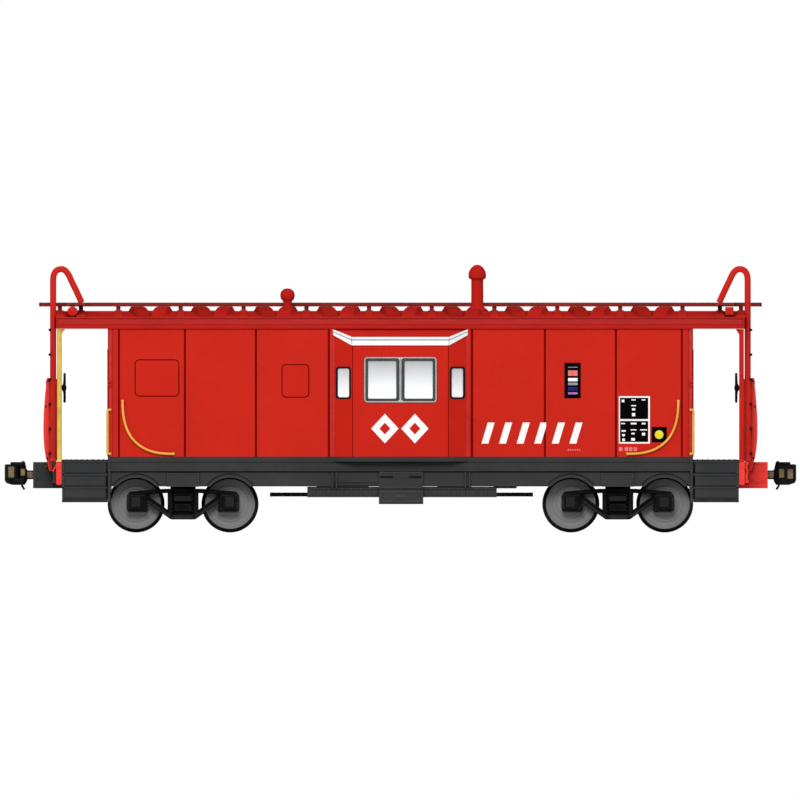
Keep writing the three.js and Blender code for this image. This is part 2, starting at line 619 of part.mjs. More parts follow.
function endRailing(s) {
  const { plates, bars, bar } = RAILING;
  const belly = line((path) => {
    path.moveTo(s * 66.5, RAILING.z0);
    path.lineTo(s * 67.05, 13.9);
    path.bezierCurveTo(s * 67.75, 16.4, s * 67.75, 21.0, s * 67.35, 25.5);
    path.quadraticCurveTo(s * 67.2, 27.8, s * 66.85, RAILING.z1);
  });
  const y0 = plates[0] - bar / 2;
  const y1 = plates[plates.length - 1] + bar / 2;
  const solids = bars.map((y) => flatBar(belly, bar, y - bar / 2, y + bar / 2));
  solids.push(...plates.map((y) => bellyPlate(belly, s, y)));
  solids.push(roundBar('y', 0.4, y0, y1, s * 66.9, RAILING.z1, 8));
  for (const [x, z] of [[67.4, 23.9], [67.1, 14.1]]) {
    solids.push(block(s * (x - 0.18), s * (x + 0.18), y0, y1, z - 0.35, z + 0.35));
  }
  const h = HOUSING;
  solids.push(block(s * h.x0, s * h.x1, h.y0, h.y1, h.z0, h.z1));
  solids.push(block(s * (h.x1 - 0.3), s * 67.35, h.y0, h.y1, h.z0 + 0.3, h.z1 - 0.5));
  return cut(joined(solids), [roundBar('x', 0.5, s * (h.x0 - 1), s * (h.x0 + 1.4), BRAKE.y, BRAKE.z)]);
}

function brakeWheel(s) {
  const inner = BRAKE.r - 0.4;
  const edge = BRAKE.r - 0.1;
  const section = [[inner, -0.2], [edge, -0.25], [BRAKE.r, 0], [edge, 0.25], [inner, 0.2], [inner, -0.2]];
  const rim = turned(section, 16).rotateZ(Math.PI / 2).translate(s * BRAKE.x, 0, 0);
  const spokes = [0, 1, 2].map((i) => (
    block(s * (BRAKE.x - 0.1), s * (BRAKE.x + 0.15), -0.2, 0.2, -BRAKE.r + 0.3, BRAKE.r - 0.3)
      .rotateX((i * Math.PI) / 3)));
  const hub = roundBar('x', 0.7, s * (BRAKE.x - 0.3), s * (BRAKE.x + 0.5), 0, 0, 10);
  const pin = roundBar('x', 0.42, s * (BRAKE.x + 0.4), s * (HOUSING.x0 + 1.3), 0, 0, 8);
  return joined([rim, ...spokes, hub, pin]).translate(0, BRAKE.y, BRAKE.z);
}

function cornerPost(s, e) {
  const rod = roundBar('z', POST.r, POST.foot, BODY_TOP - GAP, s * POST.x, e * POST.y, 8);
  const foot = block(s * 64.35, s * 65.4, e * 15.55, e * 16.25, 9.0, 13.5);
  const gusset = sidePrism([
    [s * (POST.x - 0.2), 37.3], [s * (POST.x - 0.2), BODY_TOP - GAP], [s * (POST.x - 1.1), BODY_TOP - GAP],
  ], e * (POST.y - 0.15), e * (POST.y + 0.15));
  return joined([rod, foot, gusset]);
}

// ---------------------------------------------------------------- grab irons

const GRAB_Y = 17.0;

function grabFoot(x, z, e) {
  return roundBar('y', WIRE_R * 0.9, e * (BODY_Y + GAP), e * GRAB_Y, x, z, 6);
}

function curvedGrab(s, e) {
  const at = (x, z) => new THREE.Vector3(s * x, e * GRAB_Y, z);
  const sweep = new THREE.CatmullRomCurve3([
    at(52.8, 25.1), at(52.75, 22.6), at(52.1, 20.0), at(51.0, 17.9),
    at(49.5, 16.4), at(46.7, 15.2), at(43.0, 14.95),
  ]);
  return joined([wire(sweep, WIRE_R, 10), grabFoot(s * 52.8, 24.95, e), grabFoot(s * 43.15, 14.95, e)]);
}

function cornerGrab(s, e) {
  const bar = roundBar('z', WIRE_R, 14.75, 23.5, s * 55.65, e * GRAB_Y, 6);
  const feet = [14.95, 23.3].flatMap((z) => [
    roundBar('x', WIRE_R * 0.9, s * 55.05, s * 55.65, e * GRAB_Y, z, 6), grabFoot(s * 55.2, z, e),
  ]);
  return joined([bar, ...feet]);
}

// ---------------------------------------------------------------- assembly

const ENDS = [{ name: 'a', s: -1 }, { name: 'b', s: 1 }];
const SIDES = [{ name: 'near', e: -1 }, { name: 'far', e: 1 }];

place('body_shell', bodyShell(), redPaint);
place('roof', roof(), redPaint);
place('running_board', runningBoard(), darkRed);
place('smoke_jack', roofFitting(SMOKE_JACK, SMOKE_JACK_X), redPaint);
place('roof_vent', roofFitting(ROOF_VENT, ROOF_VENT_X), redPaint);
place('underframe', underframe(), greyPlastic);
place('ballast_weight', block(-36, 36, -11, 11, FLOOR_TOP + GAP, 16.6), weightSteel);
place('equipment_box', equipmentBox(), greyPlastic);
place('air_reservoir', airReservoir(), greyPlastic);
place('brake_gear', brakeGear(), greyPlastic);

for (const { name, e } of SIDES) {
  place(`bay_glazing_${name}`, bayGlazing(e), clearPlastic);
}

ENDS.forEach(({ name, s }, index) => {
  place(`end_door_${name}`, endDoor(s), redPaint);
  place(`end_ladder_${name}`, endLadder(s), redPaint);
  place(`end_railing_${name}`, endRailing(s), redPaint);
  place(`brake_wheel_${name}`, brakeWheel(s), blackPlastic);
  place(`pocket_lid_${name}`, pocketLid(s), greyPlastic);
  place(`lid_screw_${name}`, lidScrew(s), screwSteel);
  for (const { name: side, e } of SIDES) {
    place(`corner_post_${name}_${side}`, cornerPost(s, e), s * e > 0 ? yellowWire : redPaint);
    place(`grab_curve_${name}_${side}`, curvedGrab(s, e), yellowWire);
    place(`grab_corner_${name}_${side}`, cornerGrab(s, e), yellowWire);
  }

  const couplerGroup = new THREE.Group();
  couplerGroup.rotation.z = s > 0 ? 0 : Math.PI;
  caboose.add(couplerGroup);
  place(`coupler_${name}`, couplerBody(), couplerBronze, couplerGroup);
  place(`knuckle_${name}`, knuckle(), couplerBronze, couplerGroup);
  place(`trip_pin_${name}`, tripPin(), axleSteel, couplerGroup);
  place(`centring_spring_${name}`, centringSpring(), springBronze, couplerGroup);

  const truck = new THREE.Group();
  truck.position.x = s * TRUCK_X;
  caboose.add(truck);
  place(`truck_frame_${name}`, truckFrame(), blackPlastic, truck);
  place(`truck_screw_${name}`, truckScrew(), screwSteel, truck);
  [-1, 1].forEach((d, i) => {
    const number = index * 2 + i + 1;
    const wheelset = new THREE.Group();
    wheelset.position.set(d * HALF_WHEELBASE, 0, AXLE_Z);
    truck.add(wheelset);
    place(`axle_${number}`, axle(), axleSteel, wheelset);
    place(`wheel_${number}_far`, wheel(), wheelMetal, wheelset);
    place(`wheel_${number}_near`, wheel(), wheelMetal, wheelset).rotation.x = Math.PI;
  });
});

export default caboose;
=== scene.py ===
import math

import bmesh
import bpy
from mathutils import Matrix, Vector
from mathutils.geometry import tessellate_polygon


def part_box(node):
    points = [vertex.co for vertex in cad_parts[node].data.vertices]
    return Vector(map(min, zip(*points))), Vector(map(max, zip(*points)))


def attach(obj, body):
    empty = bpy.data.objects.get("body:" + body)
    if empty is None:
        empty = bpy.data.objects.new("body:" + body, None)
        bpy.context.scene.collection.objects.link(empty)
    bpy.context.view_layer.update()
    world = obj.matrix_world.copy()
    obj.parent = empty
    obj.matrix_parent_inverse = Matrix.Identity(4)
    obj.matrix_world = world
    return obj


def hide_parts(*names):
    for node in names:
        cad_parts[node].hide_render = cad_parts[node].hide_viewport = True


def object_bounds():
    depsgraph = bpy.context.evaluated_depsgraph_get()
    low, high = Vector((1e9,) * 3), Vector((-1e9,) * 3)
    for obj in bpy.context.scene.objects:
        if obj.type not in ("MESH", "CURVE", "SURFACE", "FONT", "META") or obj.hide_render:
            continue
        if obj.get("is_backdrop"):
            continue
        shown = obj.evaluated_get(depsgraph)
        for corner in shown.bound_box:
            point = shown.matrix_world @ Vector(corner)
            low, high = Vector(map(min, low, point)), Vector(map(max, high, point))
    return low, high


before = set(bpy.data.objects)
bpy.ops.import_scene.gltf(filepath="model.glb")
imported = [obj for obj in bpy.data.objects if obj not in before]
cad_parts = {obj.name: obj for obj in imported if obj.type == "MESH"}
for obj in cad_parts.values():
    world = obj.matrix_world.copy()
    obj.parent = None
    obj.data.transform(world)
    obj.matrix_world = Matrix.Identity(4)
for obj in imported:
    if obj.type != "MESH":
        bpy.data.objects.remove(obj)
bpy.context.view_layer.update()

MM = 0.001
ENDS = {"a": -1, "b": 1}
SIDES = {"near": -1, "far": 1}
scene = bpy.context.scene


def box_mm(node):
    low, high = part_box(node)
    return low / MM, high / MM


# ------------------------------------------------------------------ shapes, in millimetres

def arc(cu, cv, r, start, stop, steps):
    points = []
    for i in range(steps + 1):
        angle = math.radians(start + (stop - start) * i / steps)
        points.append((cu + r * math.cos(angle), cv + r * math.sin(angle)))
    return points


def rounded(u0, u1, v0, v1, r, steps=5):
    corners = ((u1 - r, v1 - r, 0), (u0 + r, v1 - r, 90), (u0 + r, v0 + r, 180), (u1 - r, v0 + r, 270))
    return [p for cu, cv, start in corners for p in arc(cu, cv, r, start, start + 90, steps)]


def bezier(points, steps):
    """Points along a Bezier curve of any degree."""
    line = []
    for i in range(steps + 1):
        t, row = i / steps, [Vector(p) for p in points]
        while len(row) > 1:
            row = [a.lerp(b, t) for a, b in zip(row, row[1:])]
        line.append(tuple(row[0]))
    return line


class Form:
    """A mesh gathered from closed shapes. Faces take the finish number that is set when they are added."""

    def __init__(self):
        self.points, self.faces, self.finishes = [], [], []
        self.finish = 0

    def add(self, points, faces):
        base = len(self.points)
        self.points += [tuple(p) for p in points]
        self.faces += [tuple(base + i for i in face) for face in faces]
        self.finishes += [self.finish] * len(faces)

    def loft(self, rings, closed=False):
        n = len(rings[0])
        faces = []
        pairs = list(range(len(rings) - 1)) + ([len(rings) - 1] if closed else [])
        for k in pairs:
            low, high = k * n, ((k + 1) % len(rings)) * n
            faces += [(low + i, low + (i + 1) % n, high + (i + 1) % n, high + i) for i in range(n)]
        if not closed:
            faces += [tuple(range(n)), tuple(range((len(rings) - 1) * n, len(rings) * n))]
        self.add([p for ring in rings for p in ring], faces)

    def block(self, x0, x1, y0, y1, z0, z1):
        self.loft([[(x, y0, z0), (x, y1, z0), (x, y1, z1), (x, y0, z1)] for x in (x0, x1)])

    def prism(self, outline, place, w0, w1):
        self.loft([[place(u, v, w) for u, v in outline] for w in (w0, w1)])

    def plate(self, outer, holes, place, w0, w1):
        """A slab with an outline and holes in (u, v), from w0 to w1."""
        loops = [outer, *holes]
        flat = [p for loop in loops for p in loop]
        count = len(flat)
        triangles = tessellate_polygon([[Vector((u, v, 0)) for u, v in loop] for loop in loops])
        faces = [tuple(t) for t in triangles] + [tuple(i + count for i in t) for t in triangles]
        start = 0
        for loop in loops:
            for i in range(len(loop)):
                a, b = start + i, start + (i + 1) % len(loop)
                faces.append((a, b, b + count, a + count))
            start += len(loop)
        self.add([place(u, v, w) for w in (w0, w1) for u, v in flat], faces)

    def rim(self, outer, inner, r, place, w0, w1):
        """A rectangular slab round a rounded opening; both are (u0, u1, v0, v1)."""
        (a0, a1, b0, b1), (u0, u1, v0, v1) = outer, inner
        opening = rounded(u0, u1, v0, v1, r, 4)
        edge = []
        for cu, cv, au, bv in ((u1 - r, v1 - r, a1, b1), (u0 + r, v1 - r, a0, b1),
                               (u0 + r, v0 + r, a0, b0), (u1 - r, v0 + r, a1, b0)):
            corner = [(au, cv), (au, (cv + bv) / 2), (au, bv), ((cu + au) / 2, bv), (cu, bv)]
            edge += corner if (au - cu) * (bv - cv) > 0 else corner[::-1]
        rings = [[place(u, v, w) for u, v in loop] for loop,
                 w in ((edge, w0), (edge, w1), (opening, w1), (opening, w0))]
        self.loft(rings, closed=True)

    def turned(self, profile, place, segments=32, closed=False):
        """Turned from (radius, height) points; place takes (u, v, height)."""
        points, rings = [], []
        for r, t in profile:
            count = segments if r > 0 else 1
            rings.append([len(points) + i for i in range(count)])
            for i in range(count):
                angle = 2 * math.pi * i / segments
                points.append(place(r * math.cos(angle), r * math.sin(angle), t))
        faces = []
        for low, high in list(zip(rings, rings[1:])) + ([(rings[-1], rings[0])] if closed else []):
            for i in range(segments):
                j = (i + 1) % segments
                if len(low) > 1 and len(high) > 1:
                    faces.append((low[i], low[j], high[j], high[i]))
                elif len(high) > 1:
                    faces.append((low[0], high[j], high[i]))
                elif len(low) > 1:
                    faces.append((low[i], low[j], high[0]))
        if not closed:
            faces += [tuple(ring) for ring in (rings[0], rings[-1]) if len(ring) > 1]
        self.add(points, faces)

    def tube(self, path, radius, side=None, depth=None, segments=14):
        """A round or oval bar along a path; side is the direction of its second axis."""
        path = [Vector(p) for p in path]
        depth = depth or radius
        rings = []
        for i, p in enumerate(path):
            along = (path[min(i + 1, len(path) - 1)] - path[max(i - 1, 0)]).normalized()
            up = Vector(side) if side else along.orthogonal()
            up = (up - along * up.dot(along)).normalized()
            across = up.cross(along)
            rings.append([
                p + across * (radius * math.cos(2 * math.pi * k / segments))
                + up * (depth * math.sin(2 * math.pi * k / segments)) for k in range(segments)])
        self.loft(rings)

    def strip(self, path, width, side, thick):
        """A flat bar along a path, width across and thick along side."""
        path = [Vector(p) for p in path]
        up = Vector(side)
        rings = []
        for i, p in enumerate(path):
            along = (path[min(i + 1, len(path) - 1)] - path[max(i - 1, 0)]).normalized()
            across = up.cross(along).normalized() * (width / 2)
            rings.append([p - across - up * (thick / 2), p + across - up * (thick / 2),
                          p + across + up * (thick / 2), p - across + up * (thick / 2)])
        self.loft(rings)

    def bolt(self, at, axis, r=0.22, head=0.14):
        """A small domed hexagon head standing on a surface, out along axis."""
        axis = Vector(axis).normalized()
        u = axis.orthogonal().normalized()
        v = axis.cross(u)
        at = Vector(at)
        self.turned([(r, -0.05), (r, head * 0.6), (r * 0.6, head), (0, head)],
                    lambda a, b, t: at + u * a + v * b + axis * t, 6)


def on_x(cx, cy, cz):
    return lambda u, v, t: (cx + t, cy + u, cz + v)


def on_y(cx, cy, cz):
    return lambda u, v, t: (cx + u, cy + t, cz + v)


def on_z(cx, cy, cz):
    return lambda u, v, t: (cx + u, cy + v, cz + t)


def side_place(e):
    return lambda u, v, w: (u, e * w, v)


def end_place(s):
    return lambda u, v, w: (s * w, u, v)


def flat_place(u, v, w):
    return (u, v, w)


def make(name, form, body, finishes, stands_for=(), bevel=0.05, origin=(0, 0, 0), sharp=34):
    mesh = bpy.data.meshes.new(name)
    centre = Vector(origin)
    mesh.from_pydata([(Vector(p) - centre) * MM for p in form.points], [], form.faces)
    for finish in finishes:
        mesh.materials.append(finish)
    mesh.polygons.foreach_set("material_index", form.finishes)
    shape = bmesh.new()
    shape.from_mesh(mesh)
    bmesh.ops.recalc_face_normals(shape, faces=shape.faces)
    shape.to_mesh(mesh)
    shape.free()
    mesh.shade_smooth()
    mesh.set_sharp_from_angle(angle=math.radians(sharp))
    piece = bpy.data.objects.new(name, mesh)
    scene.collection.objects.link(piece)
    piece.location = centre * MM
    if bevel:
        rounding = piece.modifiers.new("rounded edges", "BEVEL")
        rounding.width = bevel * MM
        rounding.segments = 2
        rounding.limit_method = "ANGLE"
        rounding.angle_limit = math.radians(sharp)
        rounding.use_clamp_overlap = False
        rounding.harden_normals = True
    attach(piece, body)
    if stands_for:
        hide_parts(*stands_for)
    return piece


# ------------------------------------------------------------------ finishes

LIT = 0.66


def srgb(r, g, b):
    """A colour as it should look under the studio light, turned into a reflectance."""
    def linear(c):
        c /= 255
        return LIT * (c / 12.92 if c <= 0.04045 else ((c + 0.055) / 1.055) ** 2.4)
    return (linear(r), linear(g), linear(b), 1)


class Graph:
    """The node tree of one finish."""

    def __init__(self, name):
        self.material = bpy.data.materials.new(name)
        self.material.use_nodes = True
        self.tree = self.material.node_tree
        self.surface = self.tree.nodes["Principled BSDF"]
        self.object = self.node("ShaderNodeTexCoord").outputs["Object"]

    def node(self, kind, inputs=None, **settings):
        made = self.tree.nodes.new(kind)
        for key, value in settings.items():
            setattr(made, key, value)
        for key, value in (inputs or {}).items():
            if isinstance(value, bpy.types.NodeSocket):
                self.tree.links.new(value, made.inputs[key])
            else:
                made.inputs[key].default_value = value
        return made

    def link(self, output, socket):
        self.tree.links.new(output, self.surface.inputs[socket])

    def noise(self, scale, detail=2.0, vector=None, distortion=0.0):
        inputs = {"Vector": vector or self.object, "Scale": scale, "Detail": detail, "Distortion": distortion}
        return self.node("ShaderNodeTexNoise", inputs).outputs["Fac"]

    def stretched(self, x, y, z):
        made = self.node("ShaderNodeMapping", {"Vector": self.object, "Scale": (x, y, z)})
        return made.outputs["Vector"]

    def ranged(self, value, low, high, to_low=0.0, to_high=1.0):
        inputs = {"Value": value, "From Min": low, "From Max": high, "To Min": to_low, "To Max": to_high}
        return self.node("ShaderNodeMapRange", inputs).outputs["Result"]

    def mixed(self, factor, a, b, blend="MIX"):
        made = self.node("ShaderNodeMix", {0: factor, 6: a, 7: b}, data_type="RGBA", blend_type=blend)
        return made.outputs[2]

    def maths(self, operation, a, b=0.0):
        return self.node("ShaderNodeMath", {0: a, 1: b}, operation=operation).outputs[0]

    def occlusion(self, distance, inside=False):
        made = self.node("ShaderNodeAmbientOcclusion", {"Distance": distance}, samples=6, inside=inside)
        return made.outputs["AO"]


def moulded(name, colour, shade, rough=0.42, crevice_shade=None, edge=None, mottle=110, grain=3200,
            bump=0.10, metal=0.0, gloss=0.03, crevice_shade_reach=0.7, edge_reach=0.16, edge_wear_and_highlight=0.5,
            grime=None, streak=False):
    """Paint or moulded plastic: mottled colour, painted shade in the joints and hollows, worn edges with a
    painted highlight, fine grain.

    Colours are (red, green, blue) from 0 to 255, and grime is a colour with the heights it fades between.
    """
    g = Graph(name)
    colour, shade = srgb(*colour), srgb(*shade)
    broad = g.noise(mottle, 4.0)
    fine = g.noise(grain, 3.0)
    base = g.mixed(g.ranged(broad, 0.32, 0.68), colour, shade)
    if streak:
        lines = g.noise(260, 3.0, g.stretched(1.0, 1.0, 0.06))
        base = g.mixed(g.ranged(lines, 0.48, 0.72, 0.0, 0.35), base, shade)
    if grime:
        height = g.node("ShaderNodeSeparateXYZ", {"Vector": g.object}).outputs["Z"]
        low = g.maths("MULTIPLY", g.ranged(height, grime[1] * MM, grime[2] * MM, 1.0, 0.0),
                      g.ranged(g.noise(420, 4.0), 0.35, 0.7, 0.15, 0.8))
        base = g.mixed(low, base, srgb(*grime[0]))
    # Lighter colour on convex edges: partly paint worn through, partly a painted highlight.
    if edge:
        worn_and_lit = g.ranged(g.occlusion(edge_reach * MM, inside=True), 1.0, 0.45, 0.0, edge_wear_and_highlight)
        base = g.mixed(g.maths("MULTIPLY", worn_and_lit, g.ranged(g.noise(900, 3.0), 0.3, 0.6, 0.35, 1.0)), base,
                       srgb(*edge))
    # Painted shade: the colour darkens where nearby surfaces hem this one in, in joints, corners and
    # recesses.
    if crevice_shade:
        open_air = g.occlusion(crevice_shade_reach * MM)
        base = g.mixed(g.ranged(open_air, 0.82, 0.25, 0.0, 0.9), base, srgb(*crevice_shade))
    g.link(base, "Base Color")
    g.link(g.ranged(fine, 0.25, 0.75, rough - 0.08, rough + 0.12), "Roughness")
    height = g.maths("ADD", fine, g.maths("MULTIPLY", broad, 0.6))
    relief = g.node("ShaderNodeBump", {"Height": height, "Strength": bump, "Distance": 0.00002})
    g.link(relief.outputs["Normal"], "Normal")
    g.surface.inputs["Metallic"].default_value = metal
    g.surface.inputs["Specular IOR Level"].default_value = gloss
    return g.material


RED = moulded("red_paint", (196, 35, 22), (188, 33, 21), 0.40, (84, 6, 3), (214, 66, 52), gloss=0.02,
              edge_wear_and_highlight=0.25, streak=True)
RED_SHADED = moulded("red_paint_trim", (196, 36, 28), (182, 33, 28), 0.42, (70, 6, 4), (216, 74, 70),
                     gloss=0.02, edge_wear_and_highlight=0.3)
# A lighter copy of the red paint: painted light that offsets the shade on the end railings, the b end sill,
# the post feet and the b pocket lid.
RED_LIT_COPY = moulded("red_paint_lit_copy", (243, 66, 57), (232, 60, 52), 0.42, (84, 8, 6), (222, 84, 76),
                   gloss=0.02, edge_wear_and_highlight=0.3)
JOINT_RED = moulded("red_joint", (132, 13, 6), (120, 12, 6), 0.6, gloss=0.0)
ROOF_RED = moulded("red_roof", (184, 34, 27), (170, 30, 26), 0.5, (60, 4, 4), (204, 60, 54), mottle=160,
                   bump=0.16, gloss=0.0, edge_wear_and_highlight=0.3)
# A darker copy of the roof red: painted shade on the first hump of each roof bay.
ROOF_PAINTED_SHADE = moulded("red_roof_painted_shade", (166, 32, 22), (146, 27, 20), 0.6, (50, 4, 3), (170, 44, 36),
                    mottle=160, bump=0.16, gloss=0.0, edge_wear_and_highlight=0.3)
# A darker red for the upper fascia bands: painted shade under the eave.
FASCIA_PAINTED_SHADE = moulded("red_fascia_painted_shade", (174, 36, 31), (162, 32, 28), 0.45, (70, 6, 4), (200, 60, 52),
                     gloss=0.05, edge_wear_and_highlight=0.3)
MAROON = moulded("maroon_board", (150, 44, 37), (124, 32, 28), 0.6, (44, 6, 6), (160, 58, 50), grain=1800,
                 bump=0.3, gloss=0.05, streak=True)
GREY = moulded("grey_frame", (58, 58, 58), (50, 51, 52), 0.52, (9, 9, 10), (84, 84, 84), bump=0.18,
               edge_wear_and_highlight=0.35, grime=((64, 61, 58), 5.0, 10.0))
# Dark grey for lids and the step bottoms; on the truck's diagonal bars it is a painted highlight line.
DARK_GREY_AND_HIGHLIGHT = moulded("grey_frame_dark_and_painted_highlight", (40, 40, 41), (33, 33, 34), 0.55, (7, 7, 8), (64, 64, 64), bump=0.18,
                    gloss=0.02, edge_wear_and_highlight=0.3)
BLACK = moulded("black_truck", (10, 10, 11), (7, 7, 8), 0.5, (2, 2, 2), (60, 60, 62), mottle=260, bump=0.3,
                gloss=0.02, edge_wear_and_highlight=0.45, edge_reach=0.2, grime=((34, 31, 29), 1.5, 7.0))
# Black iron; the same finish paints black shadow strips under the sill ledge and beside the roof humps.
BLACK_IRON_AND_SHADOW = moulded("black_iron_and_painted_shadow", (14, 13, 14), (9, 9, 10), 0.5, (3, 3, 3), (48, 46, 46), mottle=400, bump=0.2,
               gloss=0.06, edge_wear_and_highlight=0.25)
YELLOW = moulded("yellow_grab", (240, 174, 80), (228, 156, 58), 0.38, (140, 84, 16), (252, 214, 140),
                 mottle=500, bump=0.12)
POST_YELLOW = moulded("yellow_post", (226, 190, 92), (196, 160, 66), 0.4, (110, 92, 30), (250, 226, 150),
                      mottle=400, bump=0.12)
WHITE = moulded("white_trim", (244, 244, 244), (234, 236, 238), 0.4, (120, 116, 116), (255, 255, 255),
                mottle=300)
PRINT_WHITE = moulded("printed_white", (250, 248, 246), (240, 234, 232), 0.55, mottle=900, bump=0.06)
PRINT_BLACK = moulded("printed_black", (6, 5, 7), (10, 9, 11), 0.6, mottle=700, bump=0.06, gloss=0.0)
PRINT_PINK = moulded("printed_pink", (236, 130, 130), (222, 104, 104), 0.55, mottle=900, bump=0.06)
PRINT_BLUE = moulded("printed_blue", (40, 36, 120), (30, 26, 92), 0.55, mottle=900, bump=0.06)
PRINT_MAUVE = moulded("printed_mauve", (190, 120, 186), (160, 96, 160), 0.55, mottle=900, bump=0.06)
# Grey print for the marks; the same grey is painted shade in the groove between the white drip rails.
GREY_PRINT_AND_SHADE = moulded("printed_grey_and_painted_shade", (150, 156, 158), (132, 138, 142), 0.55, mottle=900, bump=0.06)
PRINT_YELLOW = moulded("printed_yellow", (234, 222, 62), (218, 202, 42), 0.5, mottle=900, bump=0.06)
SILVER = moulded("silver_frame", (160, 160, 158), (142, 142, 142), 0.4, (70, 70, 72), (226, 226, 226),
                 mottle=500, metal=0.3, bump=0.1)
RUBBER = moulded("black_gasket", (68, 74, 72), (58, 62, 61), 0.62, mottle=600, bump=0.3, gloss=0.05)
STEEL = moulded("turned_steel", (150, 150, 152), (126, 126, 128), 0.3, (40, 38, 36), (200, 200, 202),
                mottle=600, metal=0.9)
SCREW = moulded("screw_steel", (92, 94, 96), (74, 75, 78), 0.36, (20, 20, 20), (150, 150, 152), mottle=700,
                metal=0.85)
WEIGHT = moulded("rolled_weight", (122, 126, 132), (100, 104, 110), 0.42, (40, 36, 32), (170, 172, 176),
                 mottle=160, metal=0.9, streak=True)
SPRING = moulded("spring_strip", (178, 140, 80), (150, 112, 60), 0.32, (60, 40, 18), (220, 190, 130),
                 mottle=500, metal=0.9)
BRONZE = moulded("coupler_bronze", (104, 90, 66), (76, 66, 48), 0.45, (8, 6, 4), (160, 142, 108),
                 mottle=700, grain=2600, bump=0.35, metal=0.2, edge_wear_and_highlight=0.4, edge_reach=0.3)


def window_glass():
    """Pale clear plastic with a painted reflection: grey towards the top of the pane, white towards the
    bottom.
    """
    g = Graph("window_plastic_painted_reflection")
    height = g.node("ShaderNodeSeparateXYZ", {"Vector": g.object}).outputs["Z"]
    ripple = g.maths("MULTIPLY", g.noise(90, 2.0), 0.0022)
    reflection_level = g.ranged(g.maths("ADD", height, ripple), 0.0275, 0.0340)
    g.link(g.mixed(reflection_level, srgb(252, 253, 254), srgb(164, 168, 172)), "Base Color")
    g.link(g.ranged(g.noise(500, 3.0), 0.3, 0.7, 0.04, 0.10), "Roughness")
    relief = g.node("ShaderNodeBump", {"Height": g.noise(150, 2.0), "Strength": 0.05, "Distance": 0.00005})
    g.link(relief.outputs["Normal"], "Normal")
    g.surface.inputs["Specular IOR Level"].default_value = 0.3
    return g.material


def wheel_metal(name, light, dark, lit_hub_colour, metal, rough):
    """Turned metal: fine rings about the wheel's own centre, a painted light that brightens towards the hub,
    and painted shade in the hollows.
    """
    g = Graph(name)
    flat = g.node("ShaderNodeVectorMath", {0: g.object, 1: (1.0, 0.0, 1.0)}, operation="MULTIPLY")
    radius = g.node("ShaderNodeVectorMath", {0: flat.outputs[0]}, operation="LENGTH").outputs["Value"]
    rings = g.noise(1.0, 3.0, g.node("ShaderNodeCombineXYZ", {
        "X": g.maths("MULTIPLY", radius, 5200.0), "Y": g.maths("MULTIPLY", g.noise(60, 1.0),
                                                               2.0)}).outputs[0])
    broad = g.noise(420, 4.0)
    base = g.mixed(g.ranged(rings, 0.3, 0.7), light, dark)
    base = g.mixed(g.ranged(broad, 0.45, 0.75, 0.0, 0.3), base, dark)
    # Painted light: brighter towards the hub, against the shade the truck frame casts there.
    base = g.mixed(g.ranged(radius, 4.5 * MM, 1.5 * MM, 0.0, 0.55), base, lit_hub_colour)
    # Painted shade: darker where nearby parts hem the surface in.
    base = g.mixed(g.ranged(g.occlusion(0.0005), 0.6, 0.2, 0.0, 0.3), base, srgb(20, 20, 20))
    g.link(base, "Base Color")
    g.link(g.ranged(rings, 0.3, 0.7, rough - 0.06, rough + 0.1), "Roughness")
    relief = g.node("ShaderNodeBump", {"Height": rings, "Strength": 0.25, "Distance": 0.00003})
    g.link(relief.outputs["Normal"], "Normal")
    g.surface.inputs["Metallic"].default_value = metal
    g.surface.inputs["Specular IOR Level"].default_value = 0.2
    return g.material


GLASS = window_glass()
WHEEL_FACE = wheel_metal("wheel_face", srgb(123, 123, 123), srgb(111, 111, 111), srgb(148, 148, 148), 0.0,
                         0.42)
# Tread and flange: blackened steel, kept near-black as painted shade on the flange ring behind the wheel
# face.
WHEEL_RIM = wheel_metal("wheel_tread", srgb(26, 26, 27), srgb(18, 18, 19), srgb(30, 30, 30), 0.3, 0.34)


# ------------------------------------------------------------------ main sizes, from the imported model

shell_low, shell_high = box_mm("body_shell")
roof_high = box_mm("roof")[1]
board_high = box_mm("running_board")[1]

BODY_X = shell_high.x
FLOOR_TOP = shell_low.z
BODY_TOP = shell_high.z
GUTTER_Y = shell_high.y
BAY_Y = GUTTER_Y - 0.3
BODY_Y = 16.35
BAY_WALL_X, BAY_FRONT_X = 12.9, 9.2
SEAMS = (13.6, 27.45, 40.95)
SEAM_GAP = 0.42
PLATE_GAP = 0.2
BACKING_Y = 16.2
PILLAR_X = 53.5
PLATED = ((-50.3, -42.2, 26.0, 32.7), (-22.4, -17.5, 25.8, 31.8))
DOOR_Y, DOOR_TOP = 3.5, 34.1
ROOF_X, ROOF_Y = roof_high.x, roof_high.y
EAVE_TOP, CROWN = 40.9, 42.1
SADDLES = (5.95, 17.85, 29.8, 41.75, 53.6, 60.7, 64.7)
TRUCK_X, HALF_BASE, AXLE_Z = 41.3, 8.92, 5.425
STACK_FOOT = (14.6, -7.5, 42.0)
VENT_FOOT = (-21.45, -7.5, 42.0)
PLATFORM_TOP = 13.87
STEP_TREADS = (11.3, 8.84, 6.4)
STEP_INNER_Y = 10.6
POST_X, POST_Y, POST_R = 64.8, 15.95, 0.45
GRAB_Y, GRAB_R = 17.0, 0.235
LADDER_X, LADDER_Y = 65.98, (-12.8, -8.2)
RAIL_TOP = 29.0
BRAKE_X, BRAKE_Y, BRAKE_Z = 63.8, 9.5, 27.5
PIPE_Y, PIPE_Z = 5.0, 7.22


def roof_z(y):
    return CROWN - (CROWN - EAVE_TOP) * (y / ROOF_Y) ** 2


# ------------------------------------------------------------------ carbody

